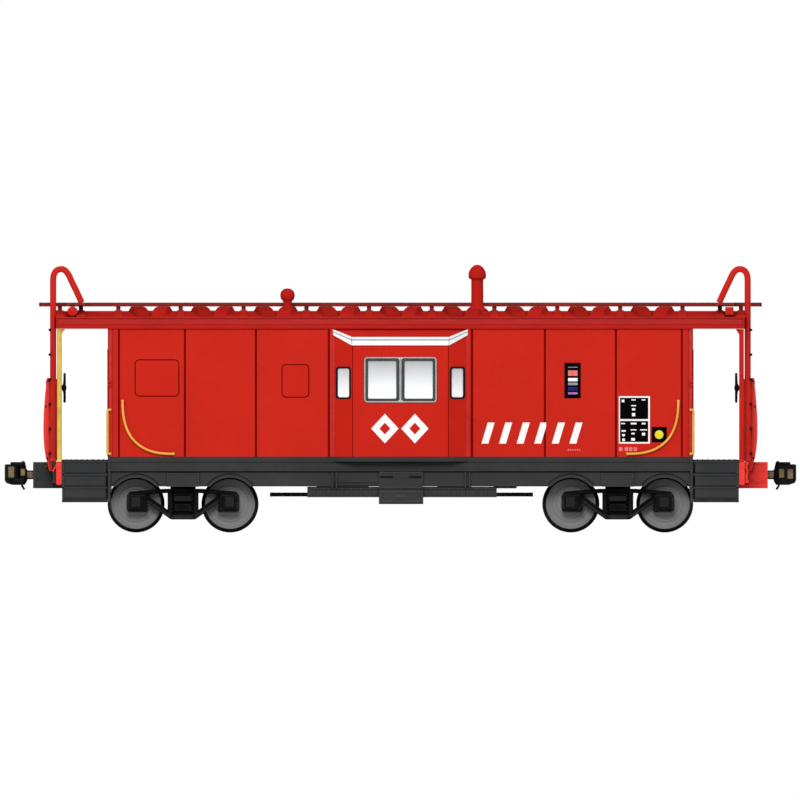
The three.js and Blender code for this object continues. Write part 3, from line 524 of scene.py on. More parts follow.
def side_walls(f, e):
    """Both long walls of one side: backing in the joint colour, gapped panels, battens and pillars."""
    place = side_place(e)
    for s in (-1, 1):
        f.finish = 1
        f.block(s * BAY_WALL_X, s * (BODY_X - 0.2), e * 15.35, e * BACKING_Y, FLOOR_TOP, BODY_TOP)
        f.finish = 0
        edges = [*SEAMS, PILLAR_X]
        for x0, x1 in zip(edges, edges[1:]):
            u0, u1 = x0 + SEAM_GAP / 2, x1 - SEAM_GAP / 2
            span = (min(s * u0, s * u1), max(s * u0, s * u1))
            plated = [(w0, w1, z0, z1) if e < 0 else (-w1, -w0, z0, z1) for w0, w1, z0, z1 in PLATED]
            found = [w for w in plated if span[0] < w[0] and w[1] < span[1]]
            for w0, w1, z0, z1 in found:
                g = PLATE_GAP
                f.rim((*span, FLOOR_TOP, BODY_TOP), (w0 - g, w1 + g, z0 - g, z1 + g), 0.9, place, 16.0,
                      BODY_Y)
                f.prism(rounded(w0, w1, z0, z1, 0.7), place, 15.9, BODY_Y + 0.08)
            if not found:
                f.block(*span, e * 16.0, e * BODY_Y, FLOOR_TOP, BODY_TOP)
        for x in (*SEAMS[1:], SEAMS[0] + 0.02):
            lap = s * x - e * (SEAM_GAP / 2 + 0.18)
            f.block(lap - 0.16, lap + 0.16, e * 16.2, e * (BODY_Y + 0.09), FLOOR_TOP, BODY_TOP)
        f.finish = 2
        f.block(s * 12.72, s * 13.36, e * 16.0, e * (BODY_Y + 0.2), FLOOR_TOP, BODY_TOP)
        f.block(s * 53.66, s * 54.62, e * 16.0, e * (BODY_Y + 0.14), FLOOR_TOP, BODY_TOP)
        f.block(s * 54.84, s * (BODY_X - 0.16), e * 16.0, e * (BODY_Y + 0.1), FLOOR_TOP, BODY_TOP)
        f.finish = 1
        f.block(s * (BODY_X - 0.18), s * BODY_X, e * 15.6, e * (BODY_Y + 0.06), FLOOR_TOP, BODY_TOP)
        f.finish = 2
        f.block(s * 54.95, s * (BODY_X - 0.05), e * 16.3, e * 16.85, 27.7, 28.15)
        f.block(s * 55.1, s * (BODY_X - 0.05), e * 16.3, e * 16.7, 28.4, 28.9)


BAY_LENGTH = math.hypot(BAY_WALL_X - BAY_FRONT_X, BAY_Y - BODY_Y)
BAY_ALONG = ((BAY_WALL_X - BAY_FRONT_X) / BAY_LENGTH, (BAY_Y - BODY_Y) / BAY_LENGTH)
BAY_WINDOW = (-6.7, 6.7, 24.9, 33.2)
BAY_SIDE = ((BAY_WALL_X - 12.15) / BAY_ALONG[0], (BAY_WALL_X - 9.5) / BAY_ALONG[0], 25.5, 31.4)
BAY_ROOF_Z = 37.1


def slanted_place(s, e):
    """Over one slanted bay side: u from the wall to the front corner, v up, w outwards."""
    ax, ay = BAY_ALONG
    return lambda u, v, w: (s * (BAY_WALL_X - ax * u + ay * w), e * (BODY_Y + ay * u + ax * w), v)


def bay(f, e):
    f.finish = 0
    front = [(-BAY_FRONT_X, FLOOR_TOP), (BAY_FRONT_X, FLOOR_TOP), (BAY_FRONT_X, BAY_ROOF_Z),
             (-BAY_FRONT_X, BAY_ROOF_Z)]
    f.plate(front, [rounded(*BAY_WINDOW, 0.5)[::-1]], side_place(e), BAY_Y - 0.9, BAY_Y)
    side = [(0, FLOOR_TOP), (BAY_LENGTH, FLOOR_TOP), (BAY_LENGTH, BAY_ROOF_Z), (0, BODY_TOP - 0.05)]
    for s in (-1, 1):
        f.plate(side, [rounded(*BAY_SIDE, 0.5)[::-1]], slanted_place(s, e), -0.9, 0)
    f.finish = 2
    corners = [(-BAY_FRONT_X, BAY_Y, BAY_ROOF_Z), (BAY_FRONT_X, BAY_Y, BAY_ROOF_Z),
               (BAY_WALL_X, BODY_Y, BODY_TOP - 0.08), (-BAY_WALL_X, BODY_Y, BODY_TOP - 0.08)]
    f.loft([[(x, e * y, z - drop) for x, y, z in corners] for drop in (0.0, 0.5)])
    f.block(-BAY_WALL_X, BAY_WALL_X, e * 15.4, e * (BODY_Y - 0.06), 37.9, BODY_TOP)
    for s in (-1, 1):
        f.prism([(0.1, FLOOR_TOP), (0.5, FLOOR_TOP), (0.5, 37.2), (0.1, 37.4)], slanted_place(s, e), -0.2,
                0.08)
    f.finish = 1
    for s in (-1, 1):
        f.block(s * 9.0, s * 9.2, e * (BAY_Y - 0.3), e * (BAY_Y + 0.02), FLOOR_TOP, BAY_ROOF_Z)


def end_wall(f, s):
    f.finish = 0
    y, inner = BODY_Y, BODY_X - 1.0
    wall = [(-y, FLOOR_TOP), (-DOOR_Y, FLOOR_TOP), (-DOOR_Y, DOOR_TOP), (DOOR_Y, DOOR_TOP),
            (DOOR_Y, FLOOR_TOP),
            (y, FLOOR_TOP), (y, BODY_TOP), (-y, BODY_TOP)]
    f.prism(wall, end_place(s), inner, BODY_X - 0.12)
    face = BODY_X - 0.12
    for e in (-1, 1):
        f.block(s * face, s * BODY_X, e * 15.4, e * y, FLOOR_TOP, BODY_TOP)
        f.block(s * face, s * (BODY_X - 0.02), e * 9.6, e * 9.9, FLOOR_TOP, BODY_TOP)
        f.finish = 2
        f.block(s * face, s * (BODY_X + 0.1), e * DOOR_Y, e * (DOOR_Y + 0.7), FLOOR_TOP, DOOR_TOP)
        f.finish = 0
        for z in range(16, 38, 3):
            f.bolt((s * face, e * 15.0, z), (s, 0, 0), 0.14, 0.08)
            f.bolt((s * (BODY_X - 0.03), e * 9.75, z), (s, 0, 0), 0.11, 0.07)
        f.prism(rounded(e * 13.2 - 0.9, e * 13.2 + 0.9, 30.1, 31.9, 0.3), end_place(s), face, BODY_X + 0.05)
    f.finish = 2
    f.block(s * face, s * (BODY_X + 0.1), -DOOR_Y - 0.7, DOOR_Y + 0.7, DOOR_TOP, DOOR_TOP + 0.7)


body = Form()
for side_sign in SIDES.values():
    side_walls(body, side_sign)
    bay(body, side_sign)
for end_sign in ENDS.values():
    end_wall(body, end_sign)
make("carbody", body, "carbody", [RED, JOINT_RED, RED_SHADED], ["body_shell"], bevel=0.05)

for end, s in ENDS.items():
    door = Form()
    face = BODY_X - 0.6
    slab = [(-DOOR_Y + 0.06, FLOOR_TOP + 0.06), (DOOR_Y - 0.06, FLOOR_TOP + 0.06),
            (DOOR_Y - 0.06, DOOR_TOP - 0.06), (-DOOR_Y + 0.06, DOOR_TOP - 0.06)]
    pane = rounded(-1.9, 1.9, 25.4, 32.0, 0.5)
    door.plate(slab, [pane[::-1]], end_place(s), face - 0.5, face)
    for low, high in ((15.6, 19.4), (20.2, 24.3)):
        ring = rounded(-2.3, 2.3, low, high, 0.3)
        door.plate(ring, [rounded(-1.95, 1.95, low + 0.35, high - 0.35, 0.2)[::-1]], end_place(s),
                   face - 0.1, face + 0.1)
    door.finish = 1
    door.plate(rounded(-1.95, 1.95, 25.35, 32.05, 0.5), [rounded(-1.6, 1.6, 25.7, 31.7, 0.35)[::-1]],
               end_place(s), face - 0.45, face + 0.08)
    door.finish = 2
    door.prism(rounded(-1.7, 1.7, 25.6, 31.8, 0.4), end_place(s), face - 0.4, face - 0.2)
    door.finish = 3
    door.turned([(0.32, -0.1), (0.32, 0.1), (0.14, 0.15), (0.14, 0.35), (0.3, 0.4), (0.3, 0.6), (0, 0.66)],
                lambda u, v, t: (s * (face + t), 2.7 + u, 23.4 + v), 16)
    for z in (17.0, 24.8, 32.6):
        door.block(s * (face - 0.1), s * (face + 0.22), -3.4, -2.8, z - 0.5, z + 0.5)
    make(f"door_{end}", door, "carbody", [RED_SHADED, RUBBER, GLASS, BLACK_IRON_AND_SHADOW], [f"end_door_{end}"],
         bevel=0.04)

# White drip rail round the top of each bay.
rails = Form()
for e in SIDES.values():
    rails.block(-BAY_FRONT_X - 0.05, BAY_FRONT_X + 0.05, e * (BAY_Y - 0.1), e * GUTTER_Y, 36.68,
                BAY_ROOF_Z + 0.05)
    rails.block(-BAY_FRONT_X, BAY_FRONT_X, e * (BAY_Y - 0.1), e * (GUTTER_Y - 0.08), 35.55, 36.5)
    for s in (-1, 1):
        out = slanted_place(s, e)
        rails.prism([(0.2, 38.2), (BAY_LENGTH, 36.68), (BAY_LENGTH, 37.15), (0.2, 38.6)], out, -0.1, 0.25)
        rails.prism([(0.2, 37.5), (BAY_LENGTH, 35.55), (BAY_LENGTH, 36.5), (0.2, 38.08)], out, -0.1, 0.18)
    # A grey strip in the groove between the white rails: painted shade.
    rails.finish = 1
    for s in (-1, 1):
        rails.prism([(0.2, 38.0), (BAY_LENGTH, 36.44), (BAY_LENGTH, 36.74), (0.2, 38.26)],
                    slanted_place(s, e), -0.1, 0.12)
    rails.block(-BAY_FRONT_X + 0.02, BAY_FRONT_X - 0.02, e * (BAY_Y - 0.1), e * (BAY_Y + 0.16), 36.44, 36.74)
make("bay_drip_rails", rails, "carbody", [WHITE, GREY_PRINT_AND_SHADE], bevel=0.06)

for side, e in SIDES.items():
    place = side_place(e)
    frame_form = Form()
    outer, inner = rounded(-6.88, 6.88, 24.72, 33.33, 0.6), rounded(-6.68, 6.68, 24.92, 33.13, 0.45)
    frame_form.plate(outer, [inner[::-1]], place, BAY_Y - 0.3, BAY_Y + 0.2)
    frame_form.block(-0.2, 0.2, e * (BAY_Y - 0.45), e * (BAY_Y + 0.14), 24.8, 33.2)
    for x0, x1, left, right in ((-6.66, -0.19, 0.52, 0.6), (0.19, 6.66, 0.6, 0.52)):
        gasket_in = rounded(x0 + left, x1 - right, 25.45, 32.6, 0.25)
        frame_form.finish = 1
        frame_form.plate(rounded(x0, x1, 24.94, 33.11, 0.4), [gasket_in[::-1]], place, BAY_Y - 0.4,
                         BAY_Y + 0.06)
    frame_form.finish = 2
    u0, u1, z0, z1 = BAY_SIDE
    for s in (-1, 1):
        ring = rounded(u0 - 0.12, u1 + 0.12, z0 - 0.12, z1 + 0.12, 0.6)
        ring_in = rounded(u0 + 0.24, u1 - 0.24, z0 + 0.2, z1 - 0.2, 0.4)
        frame_form.plate(ring, [ring_in[::-1]], slanted_place(s, e), -0.35, 0.12)
    make(f"bay_window_frame_{side}", frame_form, "carbody", [SILVER, RUBBER, BLACK_IRON_AND_SHADOW], bevel=0.04)
    panes = Form()
    for x0, x1 in ((-6.3, -0.3), (0.3, 6.3)):
        panes.prism(rounded(x0, x1, 25.2, 32.9, 0.4), place, BAY_Y - 0.5, BAY_Y - 0.12)
    for s in (-1, 1):
        panes.prism(rounded(u0 + 0.1, u1 - 0.1, z0 + 0.1, z1 - 0.1, 0.4), slanted_place(s, e), -0.5, -0.12)
    make(f"bay_panes_{side}", panes, "carbody", [GLASS], [f"bay_glazing_{side}"], bevel=0.03)

# Generic marks printed on both sides: no letters or numbers.
for side, e in SIDES.items():
    marks = Form()
    d = -e
    wall = BODY_Y + 0.02

    def patch(x0, x1, z0, z1, lift=0.0, y=wall, r=0.0):
        u0, u1 = sorted((d * x0, d * x1))
        shape = rounded(u0, u1, z0, z1, r, 3) if r else [(u0, z0), (u1, z0), (u1, z1), (u0, z1)]
        marks.prism(shape, side_place(e), y - 0.05, y + 0.02 + lift)

    marks.finish = 0
    for cx in (-2.95, 2.75):
        diamond, core = ([(d * cx + r, 19.75), (d * cx, 19.75 + 1.08 * r), (d * cx - r, 19.75),
                          (d * cx, 19.75 - 1.08 * r)]
                         for r in (2.6, 1.05))
        marks.plate(diamond, [core[::-1]], side_place(e), BAY_Y - 0.05, BAY_Y + 0.04)
    for i in range(6):
        cx = 16.65 + i * 3.34
        bar = [(cx - 1.25, 16.9), (cx + 0.05, 16.9), (cx + 1.25, 20.9), (cx - 0.05, 20.9)]
        marks.prism([(d * x, z) for x, z in bar], side_place(e), wall - 0.05, wall + 0.02)
    patch(41.4, 47.4, 16.9, 25.9)
    marks.finish = 1
    patch(41.72, 47.08, 17.2, 21.2, 0.03)
    patch(41.72, 47.08, 21.55, 25.6, 0.03)
    patch(47.75, 50.6, 17.15, 20.05, 0.0)
    patch(31.15, 34.25, 25.5, 32.25)
    marks.finish = 2
    for x, z, wide, tall in (
            (42.3, 25.0, 0.5, 0.5), (44.3, 25.2, 0.8, 0.2), (46.2, 25.2, 0.7, 0.2), (44.3, 24.1, 0.9, 0.2),
            (44.3, 23.4, 0.6, 0.4), (44.3, 22.4, 0.6, 0.6), (42.3, 20.7, 0.8, 0.2), (44.3, 20.7, 1.1, 0.3),
            (46.2, 20.7, 0.7, 0.3), (42.4, 19.3, 0.8, 0.3), (44.3, 19.5, 1.1, 0.2), (46.2, 19.5, 1.3, 0.2),
            (42.4, 18.5, 0.5, 0.4), (44.2, 18.8, 0.6, 0.3), (46.2, 18.7, 0.6, 0.5), (42.4, 17.6, 0.5, 0.5),
            (44.2, 17.7, 0.7, 0.5)):
        patch(x - wide / 2, x + wide / 2, z - tall / 2, z + tall / 2, 0.06)
    for i, (bar_finish, z, tall) in enumerate((
            (5, 31.4, 0.14), (3, 30.55, 0.5), (3, 30.05, 0.55), (2, 29.05, 0.62), (5, 28.25, 0.5),
            (4, 27.3, 0.7), (6, 26.45, 0.4))):
        marks.finish = bar_finish
        patch(31.85, 33.65, z - tall / 2, z + tall / 2, 0.03)
    marks.finish = 3
    for x in (41.9, 43.0, 43.8, 44.7):
        patch(x - 0.4, x + 0.3, 15.45, 16.25, r=0.2)
    for i in range(6):
        patch(31.8 + i * 0.42, 32.05 + i * 0.42, 15.55, 15.85)
    marks.finish = 7
    marks.turned([(0.82, -0.02), (0.82, 0.06), (0.62, 0.06), (0.62, 0.09), (0, 0.09)],
                 lambda u, v, t: (d * 49.15 + u, e * (wall + t), 18.6 + v), 32)
    make(f"printed_marks_{side}", marks, "carbody",
         [PRINT_WHITE, PRINT_BLACK, PRINT_WHITE, PRINT_PINK, PRINT_BLUE, GREY_PRINT_AND_SHADE, PRINT_MAUVE,
          PRINT_YELLOW],
         bevel=0)


# ------------------------------------------------------------------ roof

def arch(lift=0.0, y_to=ROOF_Y, steps=28):
    """Points over the roof from one eave to the other."""
    return [(y_to * (1 - 2 * i / steps), roof_z(y_to * (1 - 2 * i / steps)) + lift) for i in range(steps + 1)]


CEILING = 39.1
ROOF_CAP_X = ROOF_X - 0.35
top = Form()
top.prism([(-ROOF_Y + 0.4, CEILING), (ROOF_Y - 0.4, CEILING), (ROOF_Y - 0.4, 40.7), *arch(0, ROOF_Y - 0.4),
           (-ROOF_Y + 0.4, 40.7)], end_place(1), -ROOF_CAP_X, ROOF_CAP_X)
for e in SIDES.values():
    top.block(-ROOF_CAP_X, ROOF_CAP_X, e * 16.1, e * ROOF_Y, BODY_TOP, 39.55)
    # The upper fascia bands take the darker red, painted shade under the eave.
    top.finish = 3
    top.block(-ROOF_CAP_X, ROOF_CAP_X, e * 16.1, e * (ROOF_Y - 0.03), 39.55, 40.5)
    top.block(-ROOF_CAP_X, ROOF_CAP_X, e * 16.1, e * (ROOF_Y - 0.12), 40.4, 40.75)
    top.finish = 0
    top.block(-ROOF_CAP_X, ROOF_CAP_X, e * 16.1, e * (ROOF_Y + 0.06), 40.66, EAVE_TOP + 0.03)
for s in ENDS.values():
    cap = [(-ROOF_Y - 0.06, BODY_TOP - 0.02), (ROOF_Y + 0.06, BODY_TOP - 0.02), *arch(0.12, ROOF_Y + 0.06)]
    top.prism(cap, end_place(s), ROOF_CAP_X, ROOF_X)
    for x in (57.6, 60.6, 63.6):
        top.block(s * (x - 0.3), s * (x + 0.3), -16.2, 16.2, BODY_TOP + 0.05, CEILING + 0.1)
    for x in SADDLES:
        outline = [*arch(0.14, 16.5), *arch(-0.3, 16.5)[::-1]]
        top.prism(outline, end_place(s), x - 0.7, x + 0.7)
        for e in SIDES.values():
            top.block(s * (x - 0.85), s * (x + 0.85), e * 15.9, e * 16.7, EAVE_TOP - 0.1, EAVE_TOP + 0.42)
bay_starts = [-x for x in SADDLES[4::-1]] + list(SADDLES[:4])
for start in bay_starts:
    for e in SIDES.values():
        # The first hump of each bay takes the darker roof red as painted shade; the second takes the plain
        # roof red.
        for shade, offset, lean in ((1, 3.6, 1.2), (0, 8.65, -1.2)):
            top.finish = shade
            rings = []
            for y, lift in ((2.4, 0.86), (4.2, 0.88), (8.0, 0.9), (12.0, 0.8), (14.8, 0.55), (16.4, 0.12)):
                c = start + offset + lean * (y - 2.4) / 14
                z = roof_z(y)
                rings.append([(c - 1.75, e * y, z - 0.1), (c - 1.2, e * y, z + lift),
                              (c + 1.2, e * y, z + lift),
                              (c + 1.75, e * y, z - 0.1)])
            top.loft(rings)
        # A black strip along the lower left of the second hump: a painted shadow.
        top.finish = 2
        shadow = []
        for y, wide in ((7.0, 0.1), (11.0, 0.5), (14.8, 0.75), (16.3, 0.8)):
            c = start + 8.65 - 1.2 * (y - 2.4) / 14 - 1.7
            z = roof_z(y)
            shadow.append([(c - wide, e * y, z - 0.1), (c - wide, e * y, z + 0.05),
                           (c + 0.1, e * y, z + 0.05),
                           (c + 0.1, e * y, z - 0.1)])
        top.loft(shadow)
        top.finish = 0
        flat_c = start + 5.95
        rings = []
        for y, lift, half in ((3.0, 0.12, 0.7), (9.0, 0.16, 0.7), (15.6, 0.12, 0.7)):
            z = roof_z(y)
            rings.append([(flat_c - half, e * y, z - 0.1), (flat_c - half + 0.2, e * y, z + lift),
                          (flat_c + half - 0.2, e * y, z + lift), (flat_c + half, e * y, z - 0.1)])
        top.loft(rings)
for x, r in ((14.6, 2.4), (-21.45, 1.7)):
    top.turned([(r + 0.25, -1.1), (r + 0.25, -0.25), (r, 0.0), (0, 0.0)], on_z(x, -7.5, 42.0), 40)
make("roof_panels", top, "carbody", [ROOF_RED, ROOF_PAINTED_SHADE, BLACK_IRON_AND_SHADOW, FASCIA_PAINTED_SHADE], ["roof"], bevel=0.07)

walk = Form()
plank_low, plank_high = 42.94, board_high.z
for y0, y1 in ((-2.8, -2.45), (-0.95, -0.7), (0.7, 0.95), (2.45, 2.8)):
    walk.block(-board_high.x, board_high.x, y0, y1, plank_low, plank_high)
step = 0.95
count = int(board_high.x * 2 / step)
for i in range(count + 1):
    x = -board_high.x + 0.2 + i * (board_high.x * 2 - 0.4) / count
    walk.block(x - 0.16, x + 0.16, -2.6, 2.6, plank_low + 0.2, plank_high - 0.08)
for s in ENDS.values():
    walk.block(s * (board_high.x - 0.3), s * board_high.x, -2.8, 2.8, plank_low, plank_high)
    for x0, x1 in ((59.9, 60.2), (61.5, 61.75), (63.1, 63.4)):
        walk.block(s * x0, s * x1, -13.3, -2.6, plank_low, plank_high)
    for k in range(11):
        y = -13.1 + k * 1.0
        walk.block(s * 60.0, s * 63.3, y - 0.16, y + 0.16, plank_low + 0.2, plank_high - 0.08)
    for x in SADDLES:
        walk.prism([(-3.4, 41.95), (3.4, 41.95), (2.6, 42.5), (2.4, plank_low + 0.15),
                    (-2.4, plank_low + 0.15),
                    (-2.6, 42.5)], end_place(s), x - 0.42, x + 0.42)
        for e in SIDES.values():
            walk.bolt((s * x, e * 2.62, plank_high - 0.06), (0, 0, 1), 0.16, 0.06)
make("roofwalk", walk, "carbody", [MAROON], ["running_board"], bevel=0.035)

stack = Form()
stack.turned([(2.05, 0.0), (2.05, 0.25), (1.75, 0.5), (1.32, 0.85), (1.15, 1.2), (1.15, 2.6), (1.15, 6.05),
              (1.32, 6.15), (1.6, 6.3), (1.66, 6.5), (1.66, 7.2),
              (1.55, 7.6), (1.3, 8.1), (0.95, 8.5), (0.5, 8.8), (0, 8.9)], on_z(*STACK_FOOT), 48)
make("smoke_stack", stack, "carbody", [ROOF_RED], ["smoke_jack"], bevel=0, sharp=50)

vent = Form()
vent.turned([(1.35, 0.0), (1.35, 0.2), (1.05, 0.55), (0.85, 0.9), (0.85, 1.95), (1.0, 2.1), (1.25, 2.4),
             (1.36, 2.8), (1.38, 3.2), (1.28, 3.65), (1.0, 4.05), (0.55, 4.32),
             (0, 4.4)], on_z(*VENT_FOOT), 44)
make("mushroom_vent", vent, "carbody", [ROOF_RED], ["roof_vent"], bevel=0, sharp=50)


# ------------------------------------------------------------------ underframe

ARCH_R = 5.0
SKIRT_LOW, SKIRT_TOP = 8.75, 11.7


def skirt_outline():
    """The side skirt with its four wheel arches, from -x to +x along the bottom."""
    reach = math.sqrt(ARCH_R ** 2 - (SKIRT_LOW - AXLE_Z) ** 2)
    angle = math.degrees(math.atan2(SKIRT_LOW - AXLE_Z, reach))
    points = [(-BODY_X, SKIRT_LOW)]
    for centre in sorted(s * TRUCK_X + d * HALF_BASE for s in (-1, 1) for d in (-1, 1)):
        points += arc(centre, AXLE_Z, ARCH_R, 180 - angle, angle, 22)
    return [*points, (BODY_X, SKIRT_LOW), (BODY_X, SKIRT_TOP), (-BODY_X, SKIRT_TOP)]


def arch_lip(f, centre, e):
    f.finish = 1
    path = [(u, e * 15.93, v) for u, v in arc(centre, AXLE_Z, ARCH_R + 0.7, 140, 40, 24)]
    f.strip(path, 0.2, (0, 1, 0), 0.14)
    f.finish = 0


chassis = Form()
for e in SIDES.values():
    place = side_place(e)
    chassis.prism(skirt_outline(), place, 15.4, 15.9)
    chassis.block(-BODY_X, BODY_X, e * 15.4, e * 16.12, SKIRT_TOP, 13.4)
    chassis.block(-BODY_X, BODY_X, e * 15.4, e * BODY_Y, 13.42, FLOOR_TOP)
    chassis.block(-BODY_X, BODY_X, e * 15.4, e * 16.26, SKIRT_TOP, SKIRT_TOP + 0.2)
    # A black strip under the sill's proud ledge: a painted shadow line.
    chassis.finish = 1
    chassis.block(-BODY_X, BODY_X, e * 15.4, e * 16.22, SKIRT_TOP - 0.2, SKIRT_TOP)
    chassis.finish = 0
    chassis.block(-BODY_X, BODY_X, e * 15.4, e * 16.2, 12.5, 12.6)
    corners = [(-BAY_WALL_X, BODY_Y - 0.4), (-BAY_WALL_X, BODY_Y), (-BAY_FRONT_X, BAY_Y),
               (BAY_FRONT_X, BAY_Y),
               (BAY_WALL_X, BODY_Y), (BAY_WALL_X, BODY_Y - 0.4)]
    chassis.prism([(x, e * y) for x, y in corners], flat_place, 13.5, FLOOR_TOP - 0.02)
    for s in ENDS.values():
        for d in (-1, 1):
            arch_lip(chassis, s * TRUCK_X + d * HALF_BASE, e)
        x = s * TRUCK_X
        chassis.block(x - 3.05, x + 3.05, e * 13.4, e * 16.1, 8.7, 11.2)
        chassis.plate([(x - 3.05, 8.7), (x + 3.05, 8.7), (x + 3.05, 11.3), (x - 3.05, 11.3)],
                      [[(x - 2.75, 9.0), (x - 2.75, 11.0), (x + 2.75, 11.0),
                        (x + 2.75, 9.0)]], place, 15.9, 16.25)
        for dx in (-2.3, 2.3):
            chassis.bolt((x + dx, e * 16.1, 9.5), (0, e, 0), 0.2, 0.1)
            chassis.bolt((x + dx, e * 16.1, 10.6), (0, e, 0), 0.2, 0.1)
    for x0, x1 in ((-13.1, -12.8), (-12.3, -12.0), (12.2, 12.5), (13.0, 13.3)):
        chassis.block(x0, x1, e * 15.6, e * 16.2, 8.35, 11.65)
    chassis.finish = 1
    for z in (9.0, 9.46):
        chassis.block(e * 13.0, e * 4.6, e * 15.6, e * 15.98, z - 0.06, z + 0.06)
    chassis.finish = 0
    for x in range(-24, 25, 4):
        if abs(x) > 5:
            chassis.bolt((x, e * 15.9, 10.6), (0, e, 0), 0.16, 0.1)
chassis.block(-BODY_X, BODY_X, -15.6, 15.6, 13.2, FLOOR_TOP)
for e in SIDES.values():
    chassis.block(-61.8, 61.8, e * 1.7, e * 2.6, 10.9, 13.3)
    chassis.block(-25.0, 25.0, e * 1.7, e * 3.2, 10.9, 11.15)
    for s in ENDS.values():
        chassis.block(s * 25.0, s * 57.5, e * 1.4, e * 2.55, 8.92, 11.2)
        chassis.block(s * 25.0, s * 57.5, e * 1.4, e * 2.6, 8.9, 9.3)
for x in range(-52, 53, 8):
    if abs(abs(x) - TRUCK_X) > 4:
        chassis.block(x - 0.35, x + 0.35, -15.5, 15.5, 11.6, 13.3)
for s in ENDS.values():
    x = s * TRUCK_X
    chassis.block(x - 3.05, x + 3.05, -15.6, 15.6, 11.0, 13.3)
    chassis.turned([(2.6, 8.85), (2.6, 11.1)], on_z(x, 0, 0), 40)
    p0, p1 = s * (BODY_X - 0.1), s * 64.3
    chassis.block(p0, p1, -10.2, 10.2, 12.77, PLATFORM_TOP)
    for k in range(8):
        u = s * (56.4 + k * 1.02)
        chassis.block(u - 0.14, u + 0.14, -10.0, 10.0, 13.8, 13.94)
    for e in SIDES.values():
        run = (BODY_Y - STEP_INNER_Y) / 3
        riser_top = PLATFORM_TOP
        for i, tread in enumerate(STEP_TREADS):
            y = STEP_INNER_Y + i * run
            chassis.block(p0, p1, e * (y - 0.4), e * y, tread - 0.5, riser_top)
            chassis.block(p0, p1, e * (y - 0.4), e * (y + run), tread - 0.55, tread)
            for k in range(12):
                u = s * (56.2 + k * 0.66)
                chassis.block(u - 0.1, u + 0.1, e * (y + 0.1), e * (y + run - 0.1), tread - 0.05,
                              tread + 0.08)
            riser_top = tread
        for u in (BODY_X - 0.5, 63.85):
            stringer = [(9.8, PLATFORM_TOP), (10.8, PLATFORM_TOP), (BODY_Y, 13.6), (BODY_Y, 5.72),
                        (13.95, 5.72), (9.8, 11.67)]
            chassis.prism([(e * y, z) for y, z in stringer], end_place(s), u, u + 0.45)
        chassis.block(s * 54.85, s * (BODY_X - 0.4), e * 15.95, e * BODY_Y, 7.7, 8.8)
        for z in (13.6, 11.1, 8.62):
            chassis.block(s * (BODY_X + 0.1), s * 64.25, e * 16.0, e * BODY_Y, z - 0.3, z + 0.1)
            chassis.finish = 1
            chassis.block(s * (BODY_X + 0.1), s * 64.25, e * 16.0, e * (BODY_Y - 0.04), z + 0.1, z + 0.27)
            chassis.finish = 0
        chassis.block(s * 56.0, s * 63.9, e * 15.95, e * 16.15, 6.5, 13.6)
        chassis.finish = 2
        chassis.block(s * (BODY_X + 0.1), s * 64.25, e * 15.9, e * (BODY_Y + 0.03), 5.74, 6.5)
        chassis.finish = 0
make("frame_moulding", chassis, "carbody", [GREY, BLACK_IRON_AND_SHADOW, DARK_GREY_AND_HIGHLIGHT], ["underframe"], bevel=0.05)

for end, s in ENDS.items():
    buffer = Form()
    buffer.block(s * 64.2, s * 66.0, -3.4, 3.4, 12.65, 13.45)
    buffer.block(s * 66.0, s * 66.25, -15.3, 15.3, 12.9, 13.4)
    for y in (-13.5, -10.5, -7.0, 7.0, 10.5, 13.5):
        buffer.bolt((s * 66.0, y, 11.4), (s, 0, 0), 0.3, 0.16)
    for e in SIDES.values():
        buffer.block(s * 64.2, s * 66.0, e * 3.3, e * 15.5, 9.4, 13.45)
        buffer.block(s * 66.0, s * 66.25, e * 3.3, e * 15.3, 9.45, 9.9)
        buffer.block(s * 61.4, s * 69.5, e * 3.3, e * 4.38, 9.28, 13.4)
        buffer.block(s * 69.4, s * 69.8, e * 2.5, e * 4.42, 9.28, 13.4)
        buffer.block(s * 66.3, s * 69.4, e * 4.3, e * 4.5, 9.42, 9.66)
        buffer.block(s * 66.3, s * 69.4, e * 4.3, e * 4.5, 12.9, 13.14)
        for x in (67.0, 69.0):
            buffer.bolt((s * x, e * 4.4, 10.1), (0, e, 0), 0.24, 0.14)
            buffer.bolt((s * x, e * 4.4, 11.8), (0, e, 0), 0.24, 0.14)
    buffer.block(s * 61.5, s * 69.45, -3.4, 3.4, 12.65, 13.36)
    buffer.block(s * 61.45, s * 62.4, -3.4, 3.4, 9.38, 13.0)
    # The b end sill takes the lighter copy of the red paint, painted light.
    make(f"end_sill_{end}", buffer, "carbody", [GREY if s < 0 else RED_LIT_COPY],
         ["underframe"], bevel=0.05)

